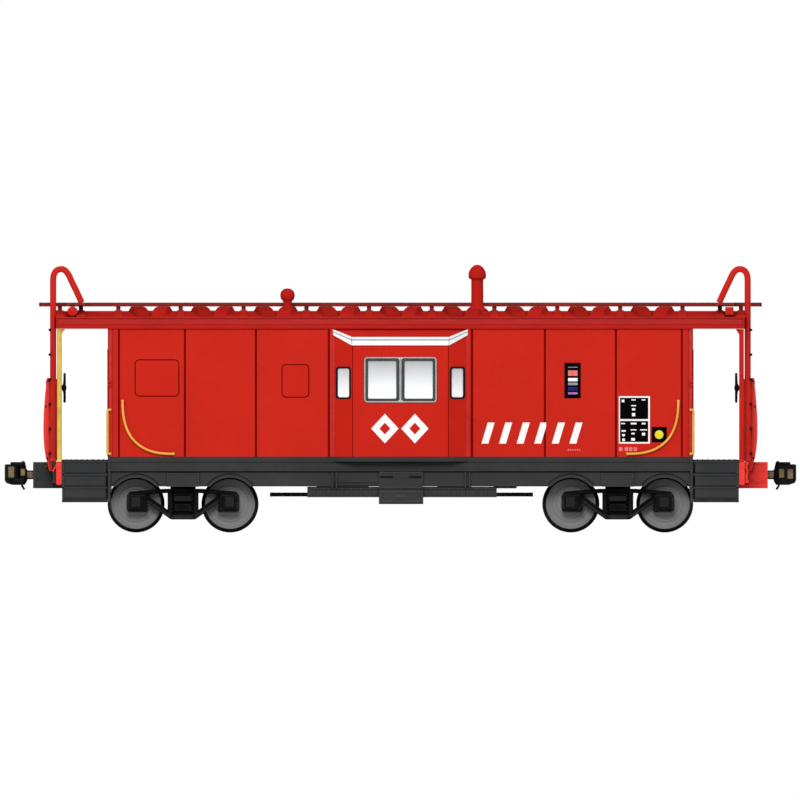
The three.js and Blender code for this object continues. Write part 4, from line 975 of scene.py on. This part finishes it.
# Battery box, skirts, piping and rods below the floor.
box = Form()
eq_low, eq_high = box_mm("equipment_box")
for e in SIDES.values():
    place = side_place(e)
    box.block(-4.1, 4.35, e * 9.0, e * 16.0, eq_low.z, 8.9)
    face = [(-4.1, eq_low.z + 0.3), (-3.6, eq_low.z), (3.9, eq_low.z), (4.35, eq_low.z + 0.3),
            (4.35, eq_high.z),
            (-4.1, eq_high.z)]
    slots = [rounded(c - 1.25, c + 1.25, 10.3, 10.75, 0.2, 3)[::-1] for c in (-2.65, 2.75)]
    box.plate(face, slots, place, 15.95, 16.2)
    box.finish = 1
    for c in (-2.65, 2.75):
        box.block(c - 1.35, c + 1.35, e * 15.9, e * 16.04, 10.2, 10.85)
    box.block(-4.05, 4.3, e * 16.1, e * (eq_high.y - 0.03), 8.18, 8.38)
    box.block(-3.7, 4.0, e * 15.9, e * (eq_high.y - 0.03), eq_low.z, eq_low.z + 0.2)
    box.finish = 0
    box.block(-4.0, 4.25, e * 16.1, e * eq_high.y, 8.38, 8.58)
    box.block(-3.9, 4.15, e * 16.1, e * (eq_high.y - 0.02), 11.3, 11.55)
    box.plate(rounded(-3.6, 3.85, 5.8, 7.9, 0.2), [rounded(-3.3, 3.55, 6.1, 7.6, 0.15)[::-1]], place, 16.1,
              eq_high.y)
    for x in (-3.2, 0.15, 3.45):
        box.bolt((x, e * 16.2, 9.2), (0, e, 0), 0.22, 0.12)
    box.block(-1.0, 1.2, e * 16.1, e * eq_high.y, 6.6, 7.2)
    for low, high in ((-17.7, -4.1), (4.35, 18.3)):
        box.block(low, high, e * 13.4, e * 15.55, 6.8, 8.7)
        box.block(low, high, e * 13.4, e * 15.8, 8.3, 8.5)
        box.block(low, high, e * 13.4, e * 15.8, 6.7, 6.95)
        x = low + 1.4
        while x < high - 0.5:
            box.block(x - 0.14, x + 0.14, e * 15.4, e * 15.72, 6.8, 8.5)
            x += 1.75
    box.tube([(17.7, e * 15.2, 8.62), (22.1, e * 15.2, 8.62)], 0.24)
box.block(-4.35, 4.35, -9.5, 9.5, 9.8, 10.8)
make("battery_box", box, "carbody", [GREY, BLACK_IRON_AND_SHADOW], ["equipment_box"], bevel=0.05)

TANK_Y, TANK_Z = -4.9, 9.05
tank = Form()
tank.turned([(0, 0), (1.3, 0.12), (1.95, 0.5), (2.2, 1.1), (2.2, 8.9), (1.95, 9.5), (1.3, 9.88), (0, 10)],
            on_x(-16.0, TANK_Y, TANK_Z), 36)
for x in (-13.6, -8.4):
    tank.turned([(2.15, 0), (2.3, 0), (2.3, 0.8), (2.15, 0.8)], on_x(x - 0.4, TANK_Y, TANK_Z), 36,
                closed=True)
    tank.block(x - 0.4, x + 0.4, TANK_Y - 0.7, TANK_Y + 0.7, TANK_Z + 1.9, 13.1)
tank.tube([(-6.1, TANK_Y, TANK_Z), (-4.9, TANK_Y, TANK_Z), (-4.5, TANK_Y, TANK_Z + 0.4),
           (-4.5, TANK_Y, 9.75)],
          0.22, (0, 1, 0))
make("air_tank", tank, "carbody", [GREY], ["air_reservoir"], bevel=0)

rigging = Form()
rigging.turned([(1.5, 0), (1.8, 0.15), (1.8, 0.6), (1.6, 0.7), (1.6, 5.8), (1.8, 5.9), (1.8, 6.4),
                (0.9, 6.5)],
               on_x(7.0, PIPE_Y, 8.6), 32)
rigging.tube([(-24.8, PIPE_Y, PIPE_Z), (25.2, PIPE_Y, PIPE_Z)], 0.38)
for x in (-24.45, -14.0, 15.5, 24.85):
    rigging.turned([(0.4, 0), (0.4, 0.6), (0.32, 0.6)], on_x(x - 0.3, PIPE_Y, PIPE_Z), 12)
rigging.block(9.6, 10.8, 4.3, 5.7, 9.9, 13.1)
rigging.prism(rounded(3.2, 6.8, 6.75, 7.65, 0.4), end_place(1), -6.6, -5.9)
make("brake_rigging", rigging, "carbody", [GREY], ["brake_gear"], bevel=0.04)


# ------------------------------------------------------------------ trucks

def side_frame(f, e):
    place = side_place(e)
    half = [(2.1, 2.47), (6.75, 5.75), (6.9, 3.85), (10.1, 3.85), (10.6, 4.4), (10.6, 7.2), (10.1, 7.8),
            (6.4, 8.0), (2.8, 8.2)]
    outline = [*half, *[(-x, z) for x, z in reversed(half)]]
    windows = []
    for d in (-1, 1):
        window = [(d * 2.95, 4.35), (d * 6.2, 6.75), (d * 6.2, 7.3), (d * 2.95, 7.5)]
        windows.append(window if d > 0 else window[::-1])
    windows.append(rounded(-2.0, 2.0, 3.3, 7.35, 0.3))
    f.plate(outline, [w[::-1] for w in windows], place, 11.3, 12.4)
    for y in (11.25, 12.65):
        chord = [(-10.4, 4.5), (-10.4, 7.0), (-10.0, 7.5), (-6.4, 7.8), (-3.4, 8.0), (3.4, 8.0), (6.4, 7.8),
                 (10.0, 7.5), (10.4, 7.0), (10.4, 4.5)]
        f.strip([(u, e * y, v) for u, v in chord], 0.64, (0, 1, 0), 0.5)
        belly = [(-6.9, 6.1), (-2.25, 2.8), (2.25, 2.8), (6.9, 6.1)]
        f.strip([(u, e * y, v) for u, v in belly], 0.64, (0, 1, 0), 0.5)
    for d in (-1, 1):
        f.strip([(d * 2.48, e * 12.6, 3.0), (d * 2.48, e * 12.6, 7.9)], 0.5, (0, 1, 0), 0.55)
        # A thin lighter strip along each diagonal bar: a painted highlight.
        f.finish = 2
        f.strip([(d * 6.5, e * 12.85, 5.85), (d * 2.4, e * 12.85, 2.95)], 0.16, (0, 1, 0), 0.16)
        f.finish = 0
        x = d * HALF_BASE
        f.prism(rounded(x - 1.75, x + 1.75, 3.95, 7.3, 0.35), place, 11.2, 12.8)
        f.prism(rounded(x - 1.25, x + 1.25, 4.4, 7.0, 0.3), place, 12.7, 13.2)
        f.finish = 2
        f.prism(rounded(x - 0.9, x + 0.75, 4.85, 6.75, 0.25), place, 13.1, 13.4)
        f.finish = 0
        f.block(x - 1.5, x + 1.5, e * 12.6, e * 13.1, 6.95, 7.2)
        f.block(x - 1.3, x + 1.3, e * 12.6, e * 13.1, 3.9, 4.15)
        for bx in (-1.5, 1.5):
            f.bolt((x + bx, e * 12.8, 4.3), (0, e, 0), 0.2, 0.18)
            f.bolt((x + bx, e * 12.8, 7.0), (0, e, 0), 0.2, 0.18)
        f.block(x - d * 2.3, x - d * 1.7, e * 11.3, e * 12.6, 4.0, 5.2)
    f.prism(rounded(-1.75, 1.75, 5.95, 7.5, 0.25), place, 11.2, 12.8)
    f.prism(rounded(-1.6, 1.6, 4.1, 5.35, 0.2), place, 11.2, 12.75)
    f.finish = 2
    f.prism(rounded(-1.5, 1.5, 6.0, 6.9, 0.15), place, 12.7, 13.1)
    f.prism([(-1.5, 2.6), (1.5, 2.6), (2.1, 3.3), (-2.1, 3.3)], place, 12.5, 13.0)
    f.finish = 0
    f.block(-2.4, 2.4, e * 11.35, e * 11.9, 3.2, 7.9)
    for d in (-1, 1):
        f.bolt((d * 2.48, e * 12.9, 7.6), (0, e, 0), 0.24, 0.16)
        f.bolt((d * 2.48, e * 12.9, 3.2), (0, e, 0), 0.24, 0.16)


def coil(f, x, y, z0, z1, radius, wire, turns):
    steps = turns * 14
    path = []
    for i in range(steps + 1):
        angle = 2 * math.pi * i / 14
        path.append((x + radius * math.cos(angle), y + radius * math.sin(angle), z0 + (z1 - z0) * i / steps))
    f.tube(path, wire, (0, 0, 1), segments=7)


def truck(end, s):
    f = Form()
    for e in SIDES.values():
        side_frame(f, e)
    f.block(-2.4, 2.4, -11.3, 11.3, 5.65, 8.0)
    f.block(-1.5, 1.5, -11.3, 11.3, 8.0, 8.25)
    f.turned([(2.4, 7.9), (2.4, 8.75), (1.4, 8.75), (1.4, 7.9)], on_z(0, 0, 0), 40, closed=True)
    for d in (-1, 1):
        f.tube([(d * 2.6, -10.4, 4.2), (d * 2.5, -6, 4.1), (d * 2.5, 6, 4.1), (d * 2.6, 10.4, 4.2)], 0.35,
               (0, 0, 1))
        for e in SIDES.values():
            f.block(d * 1.9, d * 2.5, e * 8.2, e * 10.4, 3.8, 6.6)
    f.finish = 1
    for e in SIDES.values():
        for x in (-1.95, 1.95):
            coil(f, x, e * 12.3, 3.5, 7.4, 0.36, 0.13, 5)
    f.points = [(x + s * TRUCK_X, y, z) for x, y, z in f.points]
    make(f"truck_moulding_{end}", f, f"truck_{end}", [BLACK, BLACK_IRON_AND_SHADOW, DARK_GREY_AND_HIGHLIGHT],
         [f"truck_frame_{end}"], bevel=0.045)


for end, s in ENDS.items():
    truck(end, s)

WHEEL = (
    (0.98, 7.25), (1.9, 7.25), (2.3, 7.55), (3.7, 7.6), (4.1, 7.25), (5.3, 7.25), (5.425, 7.36), (5.4, 7.6),
    (5.2, 7.82), (4.95, 7.95), (4.84, 8.15), (4.81, 8.5), (4.80, 9.9), (4.72, 10.05),
)
WHEEL_OUTER = (
    (4.72, 10.05), (4.3, 10.05), (4.24, 9.98), (3.6, 9.96), (3.56, 9.92), (3.5, 9.96), (2.9, 9.94),
    (2.86, 9.9),
    (2.8, 9.94), (2.0, 9.93), (1.94, 10.0), (1.75, 10.05), (0.98, 10.05), (0.98, 7.25),
)
for number in (1, 2, 3, 4):
    s = -1 if number < 3 else 1
    x = s * TRUCK_X + (HALF_BASE if number in (2, 4) else -HALF_BASE)
    for side, e in SIDES.items():
        wheel = Form()
        spot = (x, 0, AXLE_Z)

        def turn(u, v, t):
            return (x + u, e * t, AXLE_Z + v)

        wheel.finish = 1
        wheel.turned(WHEEL, turn, 96)
        wheel.faces, wheel.finishes = wheel.faces[:-2], wheel.finishes[:-2]
        wheel.finish = 0
        wheel.turned(WHEEL_OUTER, turn, 96)
        wheel.faces, wheel.finishes = wheel.faces[:-2], wheel.finishes[:-2]
        make(f"turned_wheel_{number}_{side}", wheel, f"wheelset_{number}", [WHEEL_FACE, WHEEL_RIM],
             [f"wheel_{number}_{side}"], bevel=0, origin=spot, sharp=40)
    shaft = Form()
    shaft.turned([(0, -12.3), (0.3, -12.3), (0.45, -12.0), (0.45, -10.9), (0.62, -10.6), (0.95, -10.4),
                  (0.95, -7.0),
                  (0.8, -6.6), (0.8, 6.6), (0.95, 7.0), (0.95, 10.4), (0.62, 10.6), (0.45, 10.9),
                  (0.45, 12.0),
                  (0.3, 12.3), (0, 12.3)], on_y(x, 0, AXLE_Z), 28)
    make(f"turned_axle_{number}", shaft, f"wheelset_{number}", [STEEL], [f"axle_{number}"],
         bevel=0,
         origin=(x, 0, AXLE_Z), sharp=40)


# ------------------------------------------------------------------ end fittings

RUNGS = (15.0, 19.7, 24.4, 29.1, 33.8, 38.5)

for end, s in ENDS.items():
    ladder = Form()
    hoop = [(LADDER_X, z) for z in (13.5, 25.0, 36.0, 47.0)]
    hoop += bezier([(LADDER_X, 47.9), (LADDER_X, 50.05), (64.4, 50.05)], 10)
    hoop += bezier([(64.4, 50.05), (63.4, 50.05), (62.6, 48.0)], 10)[1:]
    hoop += [(61.6, 45.95), (60.75, 44.1), (60.55, 43.66)]
    for y in LADDER_Y:
        ladder.tube([(s * x, y, z) for x, z in hoop], 0.6, (0, 1, 0), 0.36, 16)
        ladder.block(s * 65.45, s * 66.5, y - 0.35, y + 0.35, 13.45, 14.1)
        for z in RUNGS:
            ladder.bolt((s * 66.45, y, z), (s, 0, 0), 0.2, 0.1)
    if s > 0:
        ladder.prism(rounded(61.7, 63.3, 41.35, 42.85, 0.18), side_place(1), -16.2, -7.8)
    else:
        ladder.turned([(0.72, -16.35), (0.95, -16.2), (1.0, -15.9), (1.0, -7.8), (0.9, -7.7)],
                      on_y(-62.3, 0, 41.95), 28)
    ladder.finish = 1
    for z in RUNGS:
        ladder.tube([(s * 66.62, -13.25, z), (s * 66.62, -7.85, z)], 0.27, segments=12)
    make(f"ladder_{end}", ladder, "carbody", [RED_SHADED, BLACK_IRON_AND_SHADOW], [f"end_ladder_{end}"],
         bevel=0.03)

    rail = Form()
    belly = [(66.5, 11.7), (67.05, 13.9)]
    belly += bezier([(67.05, 13.9), (67.75, 16.4), (67.75, 21.0), (67.35, 25.5)], 14)[1:]
    belly += bezier([(67.35, 25.5), (67.2, 27.8), (66.85, RAIL_TOP)], 6)[1:]
    for y in (-7.35, -5.0, 5.0, 8.2, 11.4, 14.7):
        outer = [(x + 0.22, z) for x, z in belly]
        inner = [(65.2, RAIL_TOP), (65.2, 13.6), (66.1, 13.6), (66.1, 11.7)]
        if abs(y) < 6:
            inner = [(x - 0.25, z) for x, z in reversed(belly)]
        rail.prism([(s * x, z) for x, z in [*outer, *inner]], side_place(1), y - 0.25, y + 0.25)
        for z in (12.6, 14.1, 23.9, 28.6):
            rail.bolt((s * 67.3, y, z), (s, 0, 0), 0.16, 0.1)
    rail.tube([(s * 66.9, -7.6, RAIL_TOP), (s * 66.9, 14.95, RAIL_TOP)], 0.4, segments=16)
    for x, z in ((67.35, 23.9), (67.05, 14.1)):
        rail.block(s * (x - 0.15), s * (x + 0.15), -7.6, 14.95, z - 0.32, z + 0.32)
    rail.prism(rounded(8.1, 10.9, 25.4, 29.2, 0.6), end_place(s), 65.1, 66.9)
    rail.prism(rounded(8.4, 10.6, 25.8, 28.8, 0.9), end_place(s), 66.8, 67.35)
    rail.turned([(0.95, 64.75), (0.95, 65.2)], lambda u, v, t: (s * t, 9.5 + u, 27.5 + v), 28)
    rail.tube([(s * 66.1, 9.5, 25.6), (s * 66.1, 9.5, 13.4)], 0.22)
    # The railing takes the lighter copy of the red paint, painted light.
    make(f"railing_{end}", rail, "carbody", [RED_LIT_COPY], [f"end_railing_{end}"], bevel=0.04)

    hand = Form()

    def turn_x(u, v, t):
        return (s * (BRAKE_X + t), BRAKE_Y + u, BRAKE_Z + v)

    rim = [(2.65 + 0.2 * math.cos(a), 0.24 * math.sin(a)) for a in [k * math.pi / 6 for k in range(12)]]
    hand.turned(rim, turn_x, 48, closed=True)
    for k in range(5):
        a = 2 * math.pi * k / 5 + math.pi / 2
        path = [(s * x, BRAKE_Y + r * math.cos(a), BRAKE_Z + r * math.sin(a))
                for x, r in ((64.0, 0.4), (63.9, 1.5), (BRAKE_X, 2.6))]
        hand.tube(path, 0.15, (1, 0, 0), segments=8)
    hand.turned([(0, -0.35), (0.3, -0.35), (0.62, -0.2), (0.7, 0.0), (0.7, 0.35), (0.42, 0.5), (0.42, 2.4),
                 (0, 2.4)],
                turn_x, 24)
    make(f"hand_wheel_{end}", hand, "carbody", [BLACK_IRON_AND_SHADOW], [f"brake_wheel_{end}"], bevel=0,
         sharp=45)

    for side, e in SIDES.items():
        yellow = (s < 0) == (e < 0)
        post = Form()
        post.tube([(s * POST_X, e * POST_Y, z) for z in (13.45, 38.65)], POST_R, segments=18)
        post.prism([(s * 64.6, 37.2), (s * 64.6, 38.65), (s * 63.7, 38.65)], side_place(e), 15.8, 16.1)
        post.turned([(0.52, 13.45), (0.52, 13.7), (POST_R, 13.85)], on_z(s * POST_X, e * POST_Y, 0), 18)
        # The post foot takes the lighter copy of the red paint, painted light.
        post.finish = 1
        post.prism(rounded(*sorted((s * 64.35, s * 65.4)), 9.05, 13.5, 0.25), side_place(e), 15.55, 16.25)
        for z in (9.9, 12.4):
            post.bolt((s * 64.87, e * 16.25, z), (0, e, 0), 0.22, 0.12)
        post.strip([(s * 65.3, e * 15.7, 12.9), (s * 66.05, e * 15.7, 11.6)], 0.3, (0, 1, 0), 0.3)
        make(f"post_{end}_{side}", post, "carbody", [POST_YELLOW if yellow else RED_SHADED, RED_LIT_COPY],
             [f"corner_post_{end}_{side}"], bevel=0.035)

        grab = Form()
        guide = [(52.8, 25.1), (52.78, 23.8), (52.6, 22.0), (52.1, 20.0), (51.2, 18.2), (49.9, 16.8),
                 (48.2, 15.75),
                 (46.2, 15.15), (44.4, 14.97), (43.0, 14.95)]
        sweep = [Vector((s * x, e * GRAB_Y, z)) for x, z in guide]
        smooth = []
        for i in range(len(sweep) - 1):
            p0, p1, p2, p3 = sweep[max(i - 1, 0)], sweep[i], sweep[i + 1], sweep[min(i + 2, len(sweep) - 1)]
            for k in range(5):
                t = k / 5
                smooth.append(0.5 * (2 * p1 + (p2 - p0) * t + (2 * p0 - 5 * p1 + 4 * p2 - p3) * t * t
                                     + (3 * p1 - p0 - 3 * p2 + p3) * t ** 3))
        smooth.append(sweep[-1])
        grab.tube(smooth, GRAB_R, (0, 1, 0), segments=12)
        for x, z in ((52.8, 24.95), (43.15, 14.95)):
            grab.tube([(s * x, e * 16.4, z), (s * x, e * GRAB_Y, z)], 0.22, segments=12)
            grab.turned([(0.28, 16.36), (0.28, 16.46), (0.22, 16.52)],
                        lambda u, v, t, x=x, z=z: (s * x + u, e * t, z + v), 16)
        make(f"curved_grab_{end}_{side}", grab, "carbody", [YELLOW],
             [f"grab_curve_{end}_{side}"],
             bevel=0)

        upright = Form()
        line = [(55.05, 14.95), (55.4, 14.95), (55.58, 15.0), (55.65, 15.2), (55.65, 19.0), (55.65, 23.05),
                (55.58, 23.24), (55.4, 23.3), (55.05, 23.3)]
        upright.tube([(s * x, e * GRAB_Y, z) for x, z in line], GRAB_R, (0, 1, 0), segments=12)
        for z in (14.95, 23.3):
            upright.tube([(s * 55.2, e * 16.4, z), (s * 55.2, e * GRAB_Y, z)], 0.22, segments=12)
            upright.turned([(0.28, 16.42), (0.28, 16.5), (0.22, 16.56)],
                           lambda u, v, t, z=z: (s * 55.2 + u, e * t, z + v), 16)
        make(f"corner_grab_{end}_{side}", upright, "carbody", [YELLOW],
             [f"grab_corner_{end}_{side}"],
             bevel=0)


# ------------------------------------------------------------------ couplers

PIVOT_X, SHANK_Z0, SHANK_Z1 = 65.2, 10.45, 12.0
KNUCKLE_X, KNUCKLE_Y = 73.2, 1.4
HEAD_X0, HEAD_X1 = 71.1, 74.95
HEAD_PLAN = ((71.1, -1.6), (71.5, -2.05), (72.2, -2.25), (74.7, -2.95), (74.95, -2.75), (74.95, -2.4),
             (74.2, -1.95),
             (73.2, -1.5), (72.6, -1.0), (72.2, -0.6), (72.2, 2.3), (71.6, 2.2), (71.1, 1.7))
# Height, and how far back and forward the cast head reaches there.
HEAD_LEVELS = ((9.04, 71.4, 73.8), (9.45, 71.1, 75.0), (9.9, 70.9, 75.05), (12.0, 71.0, 74.95),
               (12.9, 71.2, 74.85),
               (13.1, 71.25, 73.15), (13.4, 71.3, 72.9))


def turned_end(form, s):
    """Turn a shape drawn for the +x end half round, for the -x end."""
    form.points = [(s * x, s * y, z) for x, y, z in form.points]


def coupler_head():
    f = Form()
    stretch = HEAD_X1 - HEAD_X0
    f.loft([[(back + (x - HEAD_X0) * (front - back) / stretch, y, z) for x, y in HEAD_PLAN]
            for z, back, front in HEAD_LEVELS])
    for z0, z1 in ((9.6, 10.25), (12.85, 13.4)):
        f.turned([(0.42, z0), (0.9, z0), (0.9, z1), (0.42, z1)], on_z(KNUCKLE_X, KNUCKLE_Y, 0), 28,
                 closed=True)
        f.block(71.9, 72.9, KNUCKLE_Y - 0.85, KNUCKLE_Y + 0.85, z0 + 0.02, z1 - 0.02)
    f.loft([[(x, y, z) for y, z in ((-half, z0), (half, z0), (half, z1), (-half, z1))]
            for x, half, z0, z1 in ((66.4, 1.0, 10.3, 11.85), (69.4, 1.0, 10.15, 11.8),
                                    (70.8, 1.15, 10.1, 11.8), (71.3, 1.5, 9.9, 12.4))])
    f.turned([(1.15, SHANK_Z0), (1.9, SHANK_Z0), (1.9, SHANK_Z1), (1.15, SHANK_Z1)], on_z(PIVOT_X, 0, 0),
             36, closed=True)
    f.finish = 1
    for e in (-1, 1):
        f.prism([(67.4, 10.45), (69.8, 10.4), (70.9, 10.35), (71.3, 10.6), (71.3, 11.5), (70.9, 11.6),
                 (69.8, 11.55),
                 (67.4, 11.6)], side_place(e), 0.9, 1.3)
    for x0, x1, z0, z1 in ((71.95, 72.9, 10.4, 12.05), (73.55, 74.6, 10.2, 12.05)):
        near = [(x, -2.05 - 0.27 * (x - 71.3)) for x in (x0, x1)]
        f.prism([(near[0][0], near[0][1] - 0.12), (near[1][0], near[1][1] - 0.12), (near[1][0], -1.6),
                 (near[0][0], -1.6)],
                flat_place, z0, z1)
    f.block(71.3, 72.15, 2.0, 2.36, 10.8, 12.1)
    f.bolt((71.7, 0.9, 13.45), (0, 0, 1), 0.3, 0.15)
    f.bolt((71.7, -1.3, 13.45), (0, 0, 1), 0.22, 0.1)
    return f


def coupler_jaw():
    f = Form()
    front = [(75.2, 1.2), (75.2, -0.6), (74.6, -0.9), (74.3, -0.5)]
    arm = [(72.9, 0.8), (73.1, 1.9), (73.4, 2.15), (74.3, 2.1), *front, (74.2, 0.55)]
    nose = [(74.25, 2.05), (74.7, 1.85), *front, (74.25, 0.55)]
    f.prism(arm, flat_place, 10.36, 12.74)
    f.loft([[(x + pull * (x - 74.25), y, z) for x, y in nose]
            for z, pull in ((9.6, -0.3), (9.85, 0.0), (12.8, 0.0), (12.98, -0.2))])
    f.turned([(0, 10.36), (0.8, 10.36), (0.8, 12.74), (0, 12.74)], on_z(KNUCKLE_X, KNUCKLE_Y, 0), 28)
    f.finish = 1
    f.turned([(0, 9.75), (0.36, 9.75), (0.36, 13.35), (0, 13.35)], on_z(KNUCKLE_X, KNUCKLE_Y, 0), 20)
    f.block(73.4, 74.5, 1.6, 2.24, 10.45, 12.5)
    f.block(74.9, 75.19, -0.45, 1.1, 10.6, 12.4)
    return f


for end, s in ENDS.items():
    for name, form, node in (("cast_coupler", coupler_head(), "coupler"),
                             ("cast_knuckle", coupler_jaw(), "knuckle")):
        turned_end(form, s)
        make(f"{name}_{end}", form, f"{node}_{end}_body", [BLACK_IRON_AND_SHADOW, BRONZE],
             [f"{node}_{end}"], bevel=0.07)
    trip_pin_form = Form()
    trip_pin_form.tube([(72.0, 0.2, 9.3), (71.9, 0.1, 8.95), (71.65, 0.0, 8.5), (71.45, -0.1, 8.2)], 0.2,
                       (0, 1, 0), segments=10)
    trip_pin_form.tube([(71.8, 0.2, 9.2), (71.8, 0.2, 12.7)], 0.38, segments=12)
    turned_end(trip_pin_form, s)
    make(f"bent_trip_pin_{end}", trip_pin_form, f"coupler_{end}_body", [BLACK_IRON_AND_SHADOW],
         [f"trip_pin_{end}"], bevel=0)


# ------------------------------------------------------------------ CAD nodes that keep their shape

KEPT = {"centring_spring": SPRING, "pocket_lid": GREY, "lid_screw": SCREW, "truck_screw": SCREW,
        "ballast_weight": WEIGHT}
for name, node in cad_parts.items():
    if node.hide_render:
        continue
    kind = next(k for k in KEPT if name.startswith(k))
    for slot in node.material_slots:
        # The b pocket lid takes the lighter copy of the red paint, painted light.
        slot.material = RED_LIT_COPY if name == "pocket_lid_b" else KEPT[kind]
    rounding = node.modifiers.new("rounded edges", "BEVEL")
    rounding.width = 0.06 * MM
    rounding.segments = 2
    rounding.angle_limit = math.radians(40)
    rounding.use_clamp_overlap = True


# ------------------------------------------------------------------ studio

def floor_finish():
    g = Graph("studio_floor")
    g.link(g.mixed(g.ranged(g.noise(14, 3.0), 0.3, 0.7), srgb(243, 243, 243), srgb(238, 238, 239)),
           "Base Color")
    g.link(g.ranged(g.noise(900, 2.0), 0.3, 0.7, 0.7, 0.85), "Roughness")
    return g.material


ground = bpy.data.meshes.new("studio_floor")
HALF_FLOOR = 1.2
FLOOR_Z = -0.00002
corners = [(x * HALF_FLOOR, y * HALF_FLOOR, FLOOR_Z) for x, y in ((-1, -1), (1, -1), (1, 1), (-1, 1))]
ground.from_pydata(corners, [], [(0, 1, 2, 3)])
ground.materials.append(floor_finish())
floor = bpy.data.objects.new("studio_floor", ground)
scene.collection.objects.link(floor)
floor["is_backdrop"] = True

world = bpy.data.worlds.new("studio_air")
world.use_nodes = True
world.node_tree.nodes["Background"].inputs["Color"].default_value = (1.0, 1.0, 1.0, 1.0)
world.node_tree.nodes["Background"].inputs["Strength"].default_value = 1.0
scene.world = world

LAMPS = (("key", (-0.06, -1.05, 0.46), 0.36, 10.0), ("fill", (-0.30, -0.42, 0.38), 0.30, 0.5),
         ("rim", (0.10, 0.40, 0.42), 0.36, 0.4))
for lamp_name, spot, size, power in LAMPS:
    light = bpy.data.lights.new(f"studio_{lamp_name}", "AREA")
    light.size = size
    light.energy = power
    lamp = bpy.data.objects.new(f"studio_{lamp_name}", light)
    lamp.location = spot
    lamp.rotation_euler = (Vector((0, 0, 0.022)) - Vector(spot)).to_track_quat("-Z", "Y").to_euler()
    scene.collection.objects.link(lamp)

FRAME_WIDTH = 0.152
CAMERA_HEIGHT = 0.02518
camera_data = bpy.data.cameras.new("studio_camera")
camera_data.type = "ORTHO"
camera_data.ortho_scale = FRAME_WIDTH
camera_data.clip_start, camera_data.clip_end = 0.01, 10.0
camera = bpy.data.objects.new("studio_camera", camera_data)
camera.location = (-0.00008, -0.6, CAMERA_HEIGHT)
camera.rotation_euler = (math.radians(90), 0, 0)
scene.collection.objects.link(camera)
scene.camera = camera
scene.view_settings.view_transform = "Standard"

low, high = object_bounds()
